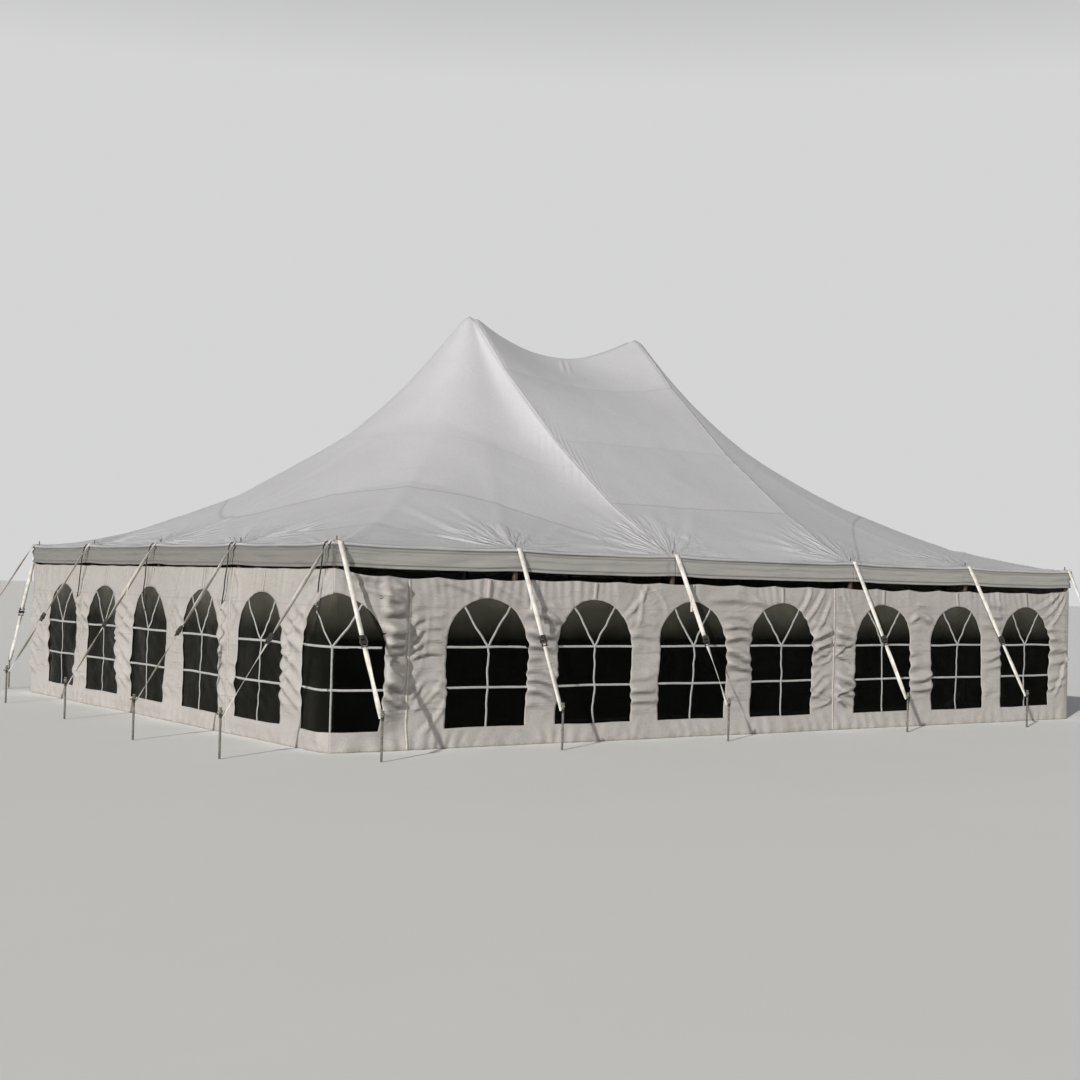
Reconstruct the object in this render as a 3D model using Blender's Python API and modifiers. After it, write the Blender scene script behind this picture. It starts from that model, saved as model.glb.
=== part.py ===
"""Pole tent, 30 by 40 feet: a canopy on two centre poles, window walls, side poles, guys and stakes.

Metres, +Z up. The origin is on the ground at the middle of the tent, +X runs along its length
towards the right-hand end and -Y faces the front.
"""
import math

import bmesh
import bpy
from mathutils import Matrix, Vector

FOOT = 0.3048

# The plan, to the outer face of the walls
LENGTH = 40 * FOOT
WIDTH = 30 * FOOT
HALF_LENGTH = LENGTH / 2
HALF_WIDTH = WIDTH / 2
END_BAY = 7.5 * FOOT
MIDDLE_BAY = 10 * FOOT
PEAK_X = MIDDLE_BAY / 2
LONG_SIDE_POLES = (-HALF_LENGTH, -PEAK_X - END_BAY, -PEAK_X, PEAK_X, PEAK_X + END_BAY, HALF_LENGTH)
END_POLES = (-END_BAY, 0.0, END_BAY)

# Heights of the canopy's upper face
EAVE_HEIGHT = 2.143
PEAK_HEIGHT = 5.53
SADDLE_DEPTH = 0.42

# How the canopy hangs between a peak and the eave: the profile is (1 - s)(1 - hollow s), where s runs
# from 0 at the peak to 1 at the eave. It is fuller on the webbing seams and hollow between them.
# Its level lines are nearly round by a peak and square at the eave.
SEAM_HOLLOW = 0.34
END_HOLLOW = 0.55
PEAK_HOLLOW = 0.5
SEAM_WIDTH_ANGLE = 0.1
ROUND_POWER = 2.5
SQUARING_POWER = 0.7
SADDLE_REACH = 0.9

# Modelled thicknesses: the real cloths are under 1 mm
GAP = 0.0003
CANOPY_DROP = 0.016
VALANCE_THICK = 0.008
WALL_THICK = 0.008
FILM_THICK = 0.004

# The edge of the canopy
EAVE_BAND = 0.09
OVERHANG = 0.02
VALANCE_FOOT = 1.893
LIP_INSET = 0.001
PEAK_FLAT = 0.076
RINGS = (0.0, 0.0125, 0.05, 0.1, 0.16, 0.23, 0.31, 0.4, 0.5, 0.61, 0.73, 0.86, 1.0)
SEGMENTS_PER_BAY = 6
MIDDLE_SEGMENTS = 8

# Poles
SIDE_POLE_RADIUS = 0.032
PIN_RADIUS = 0.0075
PIN_HOLE_RADIUS = 0.0085
PIN_RISE = 0.075
CENTER_POLE_RADIUS = 0.045
CENTER_FOOT_RADIUS = 0.09
CENTER_FOOT_THICK = 0.012
POLE_SIDES = 16
PIN_SIDES = 12
POLE_INSET = WALL_THICK + GAP + FILM_THICK + GAP + SIDE_POLE_RADIUS

# Walls and windows
LONG_WALL_TOP = 1.82
END_WALL_TOP = 1.86
WINDOW_WIDTH = 1.06
WINDOW_SILL = 0.21
WINDOW_TOP = 1.61
ARCH_SEGMENTS = 14
FILM_MARGIN = 0.05
LONG_WINDOW_PITCH = 1.48
END_WINDOW_PITCH = 1.55
FIRST_WINDOW = 1.90
FIRST_PANEL_WINDOWS = 4
LAST_PANEL_START = 8.20
LAST_PANEL_WINDOWS = 3
END_WINDOWS = 6

# Guys: a strap with its tab over the pin, a ratchet, and a stake
TAB_WIDTH = 0.07
TAB_TAIL = 0.04
STRAP_WIDTH = 0.05
STRAP_THICK = 0.004
TAB_THICK = 0.006
STRAP_BEND = 0.03
RATCHET_AT = 0.58
RATCHET_SIZE = (0.076, 0.13, 0.034)
STAKE_RADIUS = 0.0125
STAKE_HEIGHT = 0.5
STRAP_END_HEIGHT = 0.42
STAKE_SIDES = 10
COLLAR_RADIUS = 0.022
COLLAR_FOOT = 0.445
COLLAR_TOP = 0.475
STAKE_LEAN = 0.03

# How far each strap's end stands out from the wall, and along it from the strap's pole
LONG_SIDE_STAKES = ((0.86, 0.05), (0.65, 0.17), (0.6, 0.34), (0.6, 0.39), (0.72, 0.37), (0.8, 0.1))
END_STAKES = ((1.19, -0.07), (1.27, -0.32), (1.08, 0.02), (0.98, 0.27), (1.1, 0.1))

# Colours
CLOTH_COLOR = (0.46, 0.455, 0.45)
WALL_COLOR = (0.42, 0.405, 0.39)
FILM_COLOR = (0.015, 0.017, 0.015)
WOOD_COLOR = (0.22, 0.12, 0.06)
STEEL_COLOR = (0.5, 0.5, 0.5)
STRAP_COLOR = (0.6, 0.58, 0.54)


def clear_scene():
    """Remove every object that the file starts with."""
    for thing in list(bpy.data.objects):
        bpy.data.objects.remove(thing, do_unlink=True)


def new_collection(name):
    """A collection linked to the scene."""
    collection = bpy.data.collections.new(name)
    bpy.context.scene.collection.children.link(collection)
    return collection


def paint(thing, color, roughness, metallic=0.0):
    """Give an object a material of its own."""
    material = bpy.data.materials.new(thing.name + "_finish")
    material.use_nodes = True
    shader = material.node_tree.nodes["Principled BSDF"]
    shader.inputs["Base Color"].default_value = (*color, 1.0)
    shader.inputs["Roughness"].default_value = roughness
    shader.inputs["Metallic"].default_value = metallic
    thing.data.materials.clear()
    thing.data.materials.append(material)


def mesh_object(name, mesh, collection):
    """An object that holds a mesh."""
    thing = bpy.data.objects.new(name, mesh)
    collection.objects.link(thing)
    return thing


def as_helper(thing):
    """Mark an object as one that only cuts or joins another."""
    thing.hide_render = True
    thing.display_type = "WIRE"


def box(name, low, high, collection):
    """A box between two corners."""
    mesh = bpy.data.meshes.new(name)
    shape = bmesh.new()
    bmesh.ops.create_cube(shape, size=1.0)
    size = Vector(high) - Vector(low)
    middle = (Vector(high) + Vector(low)) / 2
    bmesh.ops.transform(shape, matrix=Matrix.Translation(middle) @ Matrix.Diagonal((*size, 1.0)),
                        verts=shape.verts)
    shape.to_mesh(mesh)
    shape.free()
    return mesh_object(name, mesh, collection)


def cylinder(name, radius, low, high, sides, collection):
    """A round bar between two points, with level ends."""
    mesh = bpy.data.meshes.new(name)
    shape = bmesh.new()
    foot = Vector(low)
    head = Vector(high)
    bmesh.ops.create_cone(shape, cap_ends=True, segments=sides, radius1=radius, radius2=radius,
                          depth=head.z - foot.z)
    for vertex in shape.verts:
        vertex.co += foot if vertex.co.z < 0 else head
        vertex.co.z = foot.z if vertex.co.z < (foot.z + head.z) / 2 else head.z
    shape.to_mesh(mesh)
    shape.free()
    return mesh_object(name, mesh, collection)


def turned(name, profile, sides, collection):
    """A shape turned about its own Z axis from (radius, height) points, top to bottom."""
    mesh = bpy.data.meshes.new(name)
    edges = [(i, i + 1) for i in range(len(profile) - 1)]
    mesh.from_pydata([(radius, 0.0, height) for radius, height in profile], edges, [])
    thing = mesh_object(name, mesh, collection)
    screw = thing.modifiers.new("Turn", "SCREW")
    screw.steps = sides
    screw.render_steps = sides
    screw.use_merge_vertices = True
    screw.merge_threshold = 0.00001
    screw.use_normal_calculate = False
    return thing


def flat_shape(name, outlines, thickness, matrix, collection):
    """A plate with the given outlines in its own XY plane, as a mesh placed by a matrix."""
    curve = bpy.data.curves.new(name + "_outline", "CURVE")
    curve.dimensions = "2D"
    curve.fill_mode = "BOTH"
    curve.extrude = thickness / 2
    for outline in outlines:
        spline = curve.splines.new("POLY")
        spline.points.add(len(outline) - 1)
        for point, (x, y) in zip(spline.points, outline):
            point.co = (x, y, 0.0, 1.0)
        spline.use_cyclic_u = True
    guide = bpy.data.objects.new(name + "_outline", curve)
    collection.objects.link(guide)
    guide.matrix_world = matrix
    bpy.context.view_layer.update()
    evaluated = guide.evaluated_get(bpy.context.evaluated_depsgraph_get())
    mesh = bpy.data.meshes.new_from_object(evaluated)
    shape = bmesh.new()
    shape.from_mesh(mesh)
    bmesh.ops.remove_doubles(shape, verts=shape.verts, dist=0.00001)
    shape.to_mesh(mesh)
    shape.free()
    thing = mesh_object(name, mesh, collection)
    thing.matrix_world = matrix
    bpy.data.objects.remove(guide, do_unlink=True)
    return thing


def combine(thing, other, operation):
    """Cut or join one object with another."""
    modifier = thing.modifiers.new(operation.title(), "BOOLEAN")
    modifier.operation = operation
    modifier.solver = "EXACT"
    modifier.object = other
    as_helper(other)


def canopy_height(x, y):
    """Height of the canopy's upper face over a point of the plan."""
    along = max(abs(x) - PEAK_X, 0.0)
    across = abs(y)
    reach = HALF_WIDTH - EAVE_BAND
    square = min(max(along, across) / reach, 1.0)
    rounded = (along ** ROUND_POWER + across ** ROUND_POWER) ** (1 / ROUND_POWER) / reach
    s = square + (rounded - square) * (1 - square) ** SQUARING_POWER
    s = min(max(s - PEAK_FLAT / reach, 0.0) / (1 - PEAK_FLAT / reach), 1.0)
    off_seam = 1 - math.exp(-math.atan2(along, across + 1e-9) / SEAM_WIDTH_ANGLE)
    hollow = SEAM_HOLLOW + (END_HOLLOW - SEAM_HOLLOW) * off_seam
    rise = (1 - s) * (1 - hollow * s) - off_seam * PEAK_HOLLOW * s * (1 - s) ** 3
    between = min(abs(x) / (PEAK_X - PEAK_FLAT), 1.0)
    saddle = SADDLE_DEPTH * (1 - between ** 2) * math.exp(-(across / SADDLE_REACH) ** 2)
    return EAVE_HEIGHT + (PEAK_HEIGHT - EAVE_HEIGHT) * rise - saddle


def eave_route():
    """Points round an end of the tent, from the front seam to the back one, as unit offsets from the peak.

    The slope's foot lies as far off the peak at the end as at the sides, so each offset is on a square.
    """
    steps = [i / SEGMENTS_PER_BAY for i in range(SEGMENTS_PER_BAY)]
    front = [(step, -1.0) for step in steps]
    end = [(1.0, -1 + step) for step in steps] + [(1.0, step) for step in steps]
    back = [(1 - step, 1.0) for step in steps] + [(0.0, 1.0)]
    return front + end + back


def end_canopy_grid():
    """Plan points of the right-hand end section, ring by ring from the peak to the edge."""
    reach = HALF_WIDTH - EAVE_BAND
    rows = []
    for ring in RINGS:
        rows.append([(PEAK_X + ring * reach * u, ring * reach * v) for u, v in eave_route()])
    edge = []
    for u, v in eave_route():
        x = PEAK_X + reach * u + (EAVE_BAND + OVERHANG if u == 1.0 else 0.0)
        y = reach * v + math.copysign(EAVE_BAND + OVERHANG, v) * (abs(v) == 1.0)
        edge.append((x, y))
    rows.append(edge)
    return [[(max(x, PEAK_X + GAP / 2), y) for x, y in row] for row in rows]


def middle_canopy_grid():
    """Plan points of the middle section, row by row from the front edge to the back one."""
    reach = HALF_WIDTH - EAVE_BAND
    side = PEAK_X - GAP / 2
    beside_peak = PEAK_X - PEAK_FLAT
    inner = [beside_peak * (2 * i / MIDDLE_SEGMENTS - 1) for i in range(MIDDLE_SEGMENTS + 1)]
    columns = [-side] + inner + [side]
    across = [ring * reach for ring in RINGS[1:]] + [HALF_WIDTH + OVERHANG]
    levels = [-y for y in reversed(across)] + [0.0] + across
    return [[(x, y) for x in columns] for y in levels]


def canopy_slab(name, rows, collection):
    """A curved sheet over a grid of plan points, with its underside a fixed drop below."""
    mesh = bpy.data.meshes.new(name)
    shape = bmesh.new()
    bmesh.ops.create_grid(shape, x_segments=len(rows[0]) - 1, y_segments=len(rows) - 1, size=1.0)
    for vertex in shape.verts:
        column = round((vertex.co.x + 1) / 2 * (len(rows[0]) - 1))
        row = round((vertex.co.y + 1) / 2 * (len(rows) - 1))
        x, y = rows[row][column]
        vertex.co = (x, y, canopy_height(x, y))
    bmesh.ops.remove_doubles(shape, verts=shape.verts, dist=0.00001)
    bmesh.ops.recalc_face_normals(shape, faces=shape.faces)
    upper = sum((face.normal * face.calc_area() for face in shape.faces), Vector()).z > 0
    if not upper:
        bmesh.ops.reverse_faces(shape, faces=shape.faces)
    below = bmesh.ops.extrude_face_region(shape, geom=list(shape.faces), use_keep_orig=True)
    moved = [item for item in below["geom"] if isinstance(item, bmesh.types.BMVert)]
    bmesh.ops.translate(shape, verts=moved, vec=(0.0, 0.0, -CANOPY_DROP))
    bmesh.ops.recalc_face_normals(shape, faces=shape.faces)
    shape.to_mesh(mesh)
    shape.free()
    return mesh_object(name, mesh, collection)


def add_valance(slab, low_x, high_x, end_side, cutters):
    """Join the hanging edges to a canopy section: front and back, and the end where it has one."""
    lip_top = EAVE_HEIGHT - CANOPY_DROP / 4
    outer = HALF_WIDTH + OVERHANG - LIP_INSET
    for side, face in (("front", -1), ("back", 1)):
        faces = sorted((face * outer, face * (outer - VALANCE_THICK)))
        lip = box(slab.name + "_lip_" + side, (low_x, faces[0], VALANCE_FOOT), (high_x, faces[1], lip_top),
                  cutters)
        combine(slab, lip, "UNION")
    if end_side:
        end = HALF_LENGTH + OVERHANG - LIP_INSET
        faces = sorted((end_side * end, end_side * (end - VALANCE_THICK)))
        lip = box(slab.name + "_lip_end", (faces[0], -outer, VALANCE_FOOT), (faces[1], outer, lip_top), cutters)
        combine(slab, lip, "UNION")


def pole_places():
    """Name and plan position of each side pole."""
    front = HALF_WIDTH - POLE_INSET
    end = HALF_LENGTH - POLE_INSET
    places = {}
    for side, y in (("front", -front), ("back", front)):
        for number, x in enumerate(LONG_SIDE_POLES[1:-1], start=1):
            places[f"{side}_pole_{number}"] = (x, y)
        places[f"{side}_left_corner_pole"] = (-end, y)
        places[f"{side}_right_corner_pole"] = (end, y)
    for side, x in (("left", -end), ("right", end)):
        for number, y in enumerate(END_POLES, start=1):
            places[f"{side}_pole_{number}"] = (x, y)
    return places


def make_side_poles(parts):
    """Wooden poles under the eave, each with a steel pin that stands up through the canopy."""
    top = EAVE_HEIGHT - CANOPY_DROP - GAP
    pin_top = EAVE_HEIGHT + PIN_RISE
    profile = [(0.0, pin_top), (PIN_RADIUS, pin_top), (PIN_RADIUS, top), (SIDE_POLE_RADIUS, top),
               (SIDE_POLE_RADIUS, 0.0), (0.0, 0.0)]
    for name, (x, y) in pole_places().items():
        pole = turned(name, profile, PIN_SIDES, parts)
        pole.location = (x, y, 0.0)
        paint(pole, WOOD_COLOR, 0.7)


def make_center_poles(parts):
    """The two tall poles, each on a flanged foot, with its flat head under a peak."""
    top = PEAK_HEIGHT - CANOPY_DROP - GAP
    profile = [(0.0, top), (CENTER_POLE_RADIUS, top), (CENTER_POLE_RADIUS, CENTER_FOOT_THICK),
               (CENTER_FOOT_RADIUS, CENTER_FOOT_THICK), (CENTER_FOOT_RADIUS, 0.0), (0.0, 0.0)]
    for side, x in (("left", -PEAK_X), ("right", PEAK_X)):
        pole = turned(f"{side}_center_pole", profile, POLE_SIDES, parts)
        pole.location = (x, 0.0, 0.0)
        paint(pole, STEEL_COLOR, 0.5, 0.8)


def make_canopy(parts, cutters):
    """The three roof sections, with a hole for each pin."""
    end_edge = HALF_LENGTH + OVERHANG - LIP_INSET
    seam = PEAK_X + GAP / 2
    right_rows = end_canopy_grid()
    left_rows = [[(-x, y) for x, y in row] for row in right_rows]
    sections = ((canopy_slab("right_end_roof", right_rows, parts), seam, end_edge, 1),
                (canopy_slab("left_end_roof", left_rows, parts), -end_edge, -seam, -1),
                (canopy_slab("middle_roof", middle_canopy_grid(), parts), GAP / 2 - PEAK_X, PEAK_X - GAP / 2, 0))
    for slab, low_x, high_x, end_side in sections:
        add_valance(slab, low_x, high_x, end_side, cutters)
        for name, (x, y) in pole_places().items():
            if low_x - PIN_HOLE_RADIUS < x < high_x + PIN_HOLE_RADIUS:
                hole = cylinder(f"{slab.name}_{name}_hole", PIN_HOLE_RADIUS, (x, y, EAVE_HEIGHT - 0.05),
                                (x, y, EAVE_HEIGHT + 0.05), PIN_SIDES, cutters)
                combine(slab, hole, "DIFFERENCE")
        paint(slab, CLOTH_COLOR, 0.75)


def window_outline(center):
    """A window's outline round its centre line: straight jambs and a half-round head."""
    radius = WINDOW_WIDTH / 2
    spring = WINDOW_TOP - radius
    outline = [(center - radius, WINDOW_SILL), (center + radius, WINDOW_SILL)]
    for step in range(ARCH_SEGMENTS + 1):
        angle = math.pi * step / ARCH_SEGMENTS
        outline.append((center + radius * math.cos(angle), spring + radius * math.sin(angle)))
    return outline


def front_windows():
    """Window centres along the front, with the one that wraps the left corner first."""
    first = [FIRST_WINDOW + i * LONG_WINDOW_PITCH for i in range(FIRST_PANEL_WINDOWS)]
    last = [LAST_PANEL_START + i * LONG_WINDOW_PITCH for i in range(LAST_PANEL_WINDOWS)]
    return [-HALF_LENGTH] + [distance - HALF_LENGTH for distance in first + last]


def left_windows():
    """Window centres along the left end, with the one that wraps the front corner first."""
    return [i * END_WINDOW_PITCH - HALF_WIDTH for i in range(END_WINDOWS)]


def make_wall(name, half, face, top, centers, turn, parts, cutters):
    """A wall panel and its film, modelled facing -Y and then turned about the tent's centre line.

    half is half the panel's length and face the distance of its outer side from the centre.
    """
    placing = Matrix.Rotation(turn, 4, "Z")
    wall = box(f"{name}_wall", (-half, -face, 0.0), (half, WALL_THICK - face, top), parts)
    upright = placing @ Matrix.Translation((0.0, -face, 0.0)) @ Matrix.Rotation(math.pi / 2, 4, "X")
    outlines = [window_outline(center) for center in centers]
    cutter = flat_shape(f"{name}_windows", outlines, WALL_THICK * 6, upright, cutters)
    wall.matrix_world = placing
    combine(wall, cutter, "DIFFERENCE")
    paint(wall, WALL_COLOR, 0.75)


def make_film(name, half, face, turn, parts):
    """The sheet of clear film behind a wall's windows."""
    inner = WALL_THICK + GAP
    film = box(f"{name}_window_film", (-half, inner - face, WINDOW_SILL - FILM_MARGIN),
               (half, inner + FILM_THICK - face, WINDOW_TOP + FILM_MARGIN), parts)
    film.matrix_world = Matrix.Rotation(turn, 4, "Z")
    paint(film, FILM_COLOR, 0.15)


def make_walls(parts, cutters):
    """Four walls and their films. The end walls stand between the long ones, a gap inside them."""
    end_half = HALF_WIDTH - WALL_THICK - GAP
    film_half = HALF_LENGTH - WALL_THICK - GAP
    end_film_half = end_half - FILM_THICK - GAP
    end_centers = [-center for center in left_windows()]
    for name, turn in (("front", 0.0), ("back", math.pi)):
        make_wall(name, HALF_LENGTH, HALF_WIDTH, LONG_WALL_TOP, front_windows(), turn, parts, cutters)
        make_film(name, film_half, HALF_WIDTH, turn, parts)
    for name, turn in (("left", -math.pi / 2), ("right", math.pi / 2)):
        make_wall(name, end_half, HALF_LENGTH, END_WALL_TOP, end_centers, turn, parts, cutters)
        make_film(name, end_film_half, HALF_LENGTH, turn, parts)


def side_view_plate(name, outline, width, placing, drift, reach, collection):
    """A plate drawn in the side view of a guy, whose points are (distance out from the wall, height).

    It is width wide along the wall, and slides along the wall with distance to follow the guy's drift.
    """
    upright = Matrix(((0, 0, -1, 0), (-1, 0, 0, 0), (0, 1, 0, 0), (0, 0, 0, 1)))
    plate = flat_shape(name, [outline], width, Matrix.Identity(4), collection)
    plate.data.transform(upright)
    for vertex in plate.data.vertices:
        out = -vertex.co.y
        vertex.co.x += drift * max(out - STRAP_BEND, 0.0) / (reach - STRAP_BEND)
    plate.matrix_world = placing
    return plate


def thick_run(start, end, thickness):
    """Corners of a straight bar of even thickness between two points of a side view."""
    along = (end - start).normalized()
    across = Vector((-along.y, along.x)) * thickness / 2
    return [tuple(point) for point in (start - across, end - across, end + across, start + across)]


def make_guy(name, pin, face, reach, drift, lift, turn, parts, cutters):
    """One guy, modelled as if it ran from a pin on the front towards -Y, and then turned.

    pin is the pole's place along its side, whose wall stands face from the centre.
    The stake stands reach out from the wall and drift further along it, and the tab lies lift
    above the canopy's edge.
    """
    placing = Matrix.Rotation(turn, 4, "Z") @ Matrix.Translation((pin, -face, 0.0))
    tab_low = EAVE_HEIGHT + GAP + lift
    middle = tab_low + TAB_THICK / 2
    bend = Vector((STRAP_BEND, middle))
    hook = Vector((reach, STRAP_END_HEIGHT))
    run = (hook - bend).normalized()
    level_under = Vector((0.0, STRAP_THICK / 2))
    across = Vector((-run.y, run.x)) * STRAP_THICK / 2
    outline = [Vector((0.0, middle)) - level_under, bend - level_under, hook - across,
               hook + across, bend + across, Vector((0.0, middle)) + level_under]
    guy = side_view_plate(name, [tuple(p) for p in outline], STRAP_WIDTH, placing, drift, reach, parts)

    tab = box(name + "_tab", (-TAB_WIDTH / 2, -STRAP_BEND / 2, tab_low),
              (TAB_WIDTH / 2, POLE_INSET + TAB_TAIL, tab_low + TAB_THICK), cutters)
    tab.matrix_world = placing
    combine(guy, tab, "UNION")
    grommet = cylinder(name + "_grommet", PIN_HOLE_RADIUS, (0.0, POLE_INSET, tab_low - 0.02),
                       (0.0, POLE_INSET, tab_low + 0.02), PIN_SIDES, cutters)
    grommet.matrix_world = placing
    combine(guy, grommet, "DIFFERENCE")

    width, length, thick = RATCHET_SIZE
    center = bend.lerp(hook, RATCHET_AT)
    housing = thick_run(center - run * length / 2, center + run * length / 2, thick)
    ratchet = side_view_plate(name + "_ratchet", housing, width, placing, drift, reach, cutters)
    combine(guy, ratchet, "UNION")

    lean = math.atan2(STAKE_LEAN, STAKE_HEIGHT)
    foot_out = reach + STRAP_END_HEIGHT * math.tan(lean)
    profile = [(0.0, STAKE_HEIGHT), (STAKE_RADIUS, STAKE_HEIGHT), (STAKE_RADIUS, COLLAR_TOP),
               (COLLAR_RADIUS, COLLAR_TOP), (COLLAR_RADIUS, COLLAR_FOOT), (STAKE_RADIUS, COLLAR_FOOT),
               (STAKE_RADIUS, 0.0), (0.0, 0.0)]
    stake = turned(name + "_stake", profile, STAKE_SIDES, cutters)
    foot = Matrix.Translation((drift, -foot_out, STAKE_RADIUS * math.sin(lean)))
    stake.matrix_world = placing @ foot @ Matrix.Rotation(-lean, 4, "X")
    combine(guy, stake, "UNION")
    paint(guy, STRAP_COLOR, 0.7)


def make_guys(parts, cutters):
    """A guy at each side pole, and a second one at each corner, whose tab lies on the first one's."""
    for name, turn in (("front", 0.0), ("back", math.pi)):
        for number, (pin, stake) in enumerate(zip(LONG_SIDE_POLES, LONG_SIDE_STAKES), start=1):
            corner = math.copysign(POLE_INSET, pin) if abs(pin) == HALF_LENGTH else 0.0
            make_guy(f"{name}_guy_{number}", pin - corner, HALF_WIDTH, *stake, 0.0, turn, parts, cutters)
    pins = (POLE_INSET - HALF_WIDTH, *END_POLES, HALF_WIDTH - POLE_INSET)
    for name, turn in (("left", -math.pi / 2), ("right", math.pi / 2)):
        for number, (pin, (reach, drift)) in enumerate(zip(pins, END_STAKES), start=1):
            lift = 0.0 if pin in END_POLES else TAB_THICK + GAP
            make_guy(f"{name}_guy_{number}", -pin, HALF_LENGTH, reach, -drift, lift, turn, parts, cutters)


def main():
    clear_scene()
    parts = new_collection("pole_tent")
    cutters = new_collection("cutters")
    make_center_poles(parts)
    make_side_poles(parts)
    make_canopy(parts, cutters)
    make_walls(parts, cutters)
    make_guys(parts, cutters)


main()
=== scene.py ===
"""The looks of a two-pole marquee tent with arched window walls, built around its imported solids."""
import math

import bmesh
import bpy
import numpy as np
from bpy.props import FloatProperty, FloatVectorProperty, PointerProperty
from mathutils import Matrix, Vector


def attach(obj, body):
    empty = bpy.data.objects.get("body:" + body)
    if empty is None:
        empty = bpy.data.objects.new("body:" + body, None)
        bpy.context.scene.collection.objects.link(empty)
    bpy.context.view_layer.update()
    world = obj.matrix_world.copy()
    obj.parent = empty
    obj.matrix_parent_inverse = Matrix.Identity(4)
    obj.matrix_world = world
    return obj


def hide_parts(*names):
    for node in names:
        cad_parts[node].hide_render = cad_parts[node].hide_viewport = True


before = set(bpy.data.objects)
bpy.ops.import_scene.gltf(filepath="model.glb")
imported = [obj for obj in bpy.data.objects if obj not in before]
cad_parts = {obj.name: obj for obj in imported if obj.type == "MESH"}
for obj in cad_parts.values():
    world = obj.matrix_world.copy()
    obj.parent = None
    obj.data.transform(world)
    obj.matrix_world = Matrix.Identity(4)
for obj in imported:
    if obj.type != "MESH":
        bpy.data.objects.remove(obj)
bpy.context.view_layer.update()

bl_info = {
    "name": "Marquee tent",
    "version": (1, 0, 0),
    "blender": (4, 5, 0),
    "location": "3D View > Sidebar > Marquee",
    "description": "Dresses the solids of a marquee tent in cloth, film, webbing, wood and steel",
    "category": "Object",
}

# The tent's plan, in metres, as its solids have it. X runs along the two peaks, and the front faces -Y.
HALF_LENGTH = 6.096
HALF_WIDTH = 4.572
PEAK_X = 1.524
MID_POLE_X = 3.81
END_POLE_Y = 2.286
PIN_INSET = 0.0446
OVERHANG = 0.02
EAVE_HEIGHT = 2.143
PEAK_HEIGHT = 5.53
VALANCE_DROP = 0.25
FERRULE_FOOT = 2.05
LONG_POLES = (-HALF_LENGTH + PIN_INSET, -MID_POLE_X, -PEAK_X, PEAK_X, MID_POLE_X, HALF_LENGTH - PIN_INSET)
END_POLES = (-HALF_WIDTH + PIN_INSET, -END_POLE_Y, 0.0, END_POLE_Y, HALF_WIDTH - PIN_INSET)

# The rule of the canopy's shape, as in the solids.
SADDLE_DEPTH = 0.42
SEAM_HOLLOW = 0.34
END_HOLLOW = 0.55
PEAK_HOLLOW = 0.5
SEAM_WIDTH_ANGLE = 0.1
ROUND_POWER = 2.5
SQUARING_POWER = 0.7
SADDLE_REACH = 0.9
SADDLE_CREASE_LEAN = 0.6
EAVE_BAND = 0.09
PEAK_FLAT = 0.076

# Where the canopy's widths of cloth are welded: off the ridge in the middle, and off the corners at the ends.
MIDDLE_WELDS = (0.9, 2.12, 3.34)
END_WELDS = (2.2, 4.25, 6.2)
WELD_BOW = 1.3
HIP_BOW = 0.3
HIP_BOW_WIDTH = 1.1

# Walls and windows.
WINDOW_RADIUS = 0.53
WINDOW_SILL = 0.21
WINDOW_SPRING = 1.08
WINDOW_BARS = (0.64, 1.08)
LONG_WINDOWS = (-6.096, -4.196, -2.716, -1.236, 0.244, 2.104, 3.584, 5.064)
END_WINDOWS = (4.572, 3.022, 1.472, -0.078, -1.628, -3.178)
LONG_WALL_TOP = 1.82
END_WALL_TOP = 1.86
# No daylight shows through the gap under the front valance, so the far walls hang from behind theirs.
HIDDEN_WALL_TOP = 1.935
ARCH_BAR_LEAN = math.radians(34)
PANE_BEHIND = 0.0095
PANE_LAP = 0.02
# How far a pane and its tapes end from a corner of the tent.
CORNER_GAP = 0.006
TAPE_THICKNESS = 0.0016

# Each guy's stake: how far it stands out from the wall's face, and how far along it.
LONG_STAKES = ((0.86, 0.05), (0.65, 0.17), (0.6, 0.34), (0.6, 0.39), (0.72, 0.37), (0.8, 0.1))
END_STAKES = ((1.19, -0.07), (1.27, -0.32), (1.08, 0.02), (0.98, 0.27), (1.1, 0.1))
TAB_RISE = 0.0075
TAB_THICKNESS = 0.0063
STRAP_BEND = 0.03
STRAP_END_HEIGHT = 0.42
RATCHET_AT = 0.58
# How far each strap turns on itself above and below its ratchet, and where its sewn end hangs loose.
LONG_TURNS = ((0.25, 1.25, 0.0), (0.35, 0.1, 0.27), (0.75, -1.0, 0.27), (0.3, 1.1, 0.0), (0.5, 0.3, 0.0),
              (0.4, 0.9, 0.22))
END_TURNS = ((1.35, 0.45, 0.0), (1.05, 0.6, 0.0), (1.4, 0.9, 0.3), (1.0, 1.1, 0.0), (0.9, 0.5, 0.0))
STAKE_HEIGHT = 0.5
STAKE_RADIUS = 0.0125
STAKE_LEAN = 0.03


# Small numeric tools


def linear(hexcode):
    """An sRGB hex colour as linear red, green, blue and alpha."""
    channels = [int(hexcode[i:i + 2], 16) / 255 for i in (1, 3, 5)]
    return tuple(c / 12.92 if c <= 0.04045 else ((c + 0.055) / 1.055) ** 2.4 for c in channels) + (1.0,)


def smooth(t):
    """0 up to t = 0, 1 from t = 1, and an even curve between."""
    t = np.clip(t, 0.0, 1.0)
    return t * t * (3.0 - 2.0 * t)


def hump(distance, width):
    """1 at no distance, and nearly 0 from two widths away."""
    return np.exp(-(distance / width) ** 2)


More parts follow.
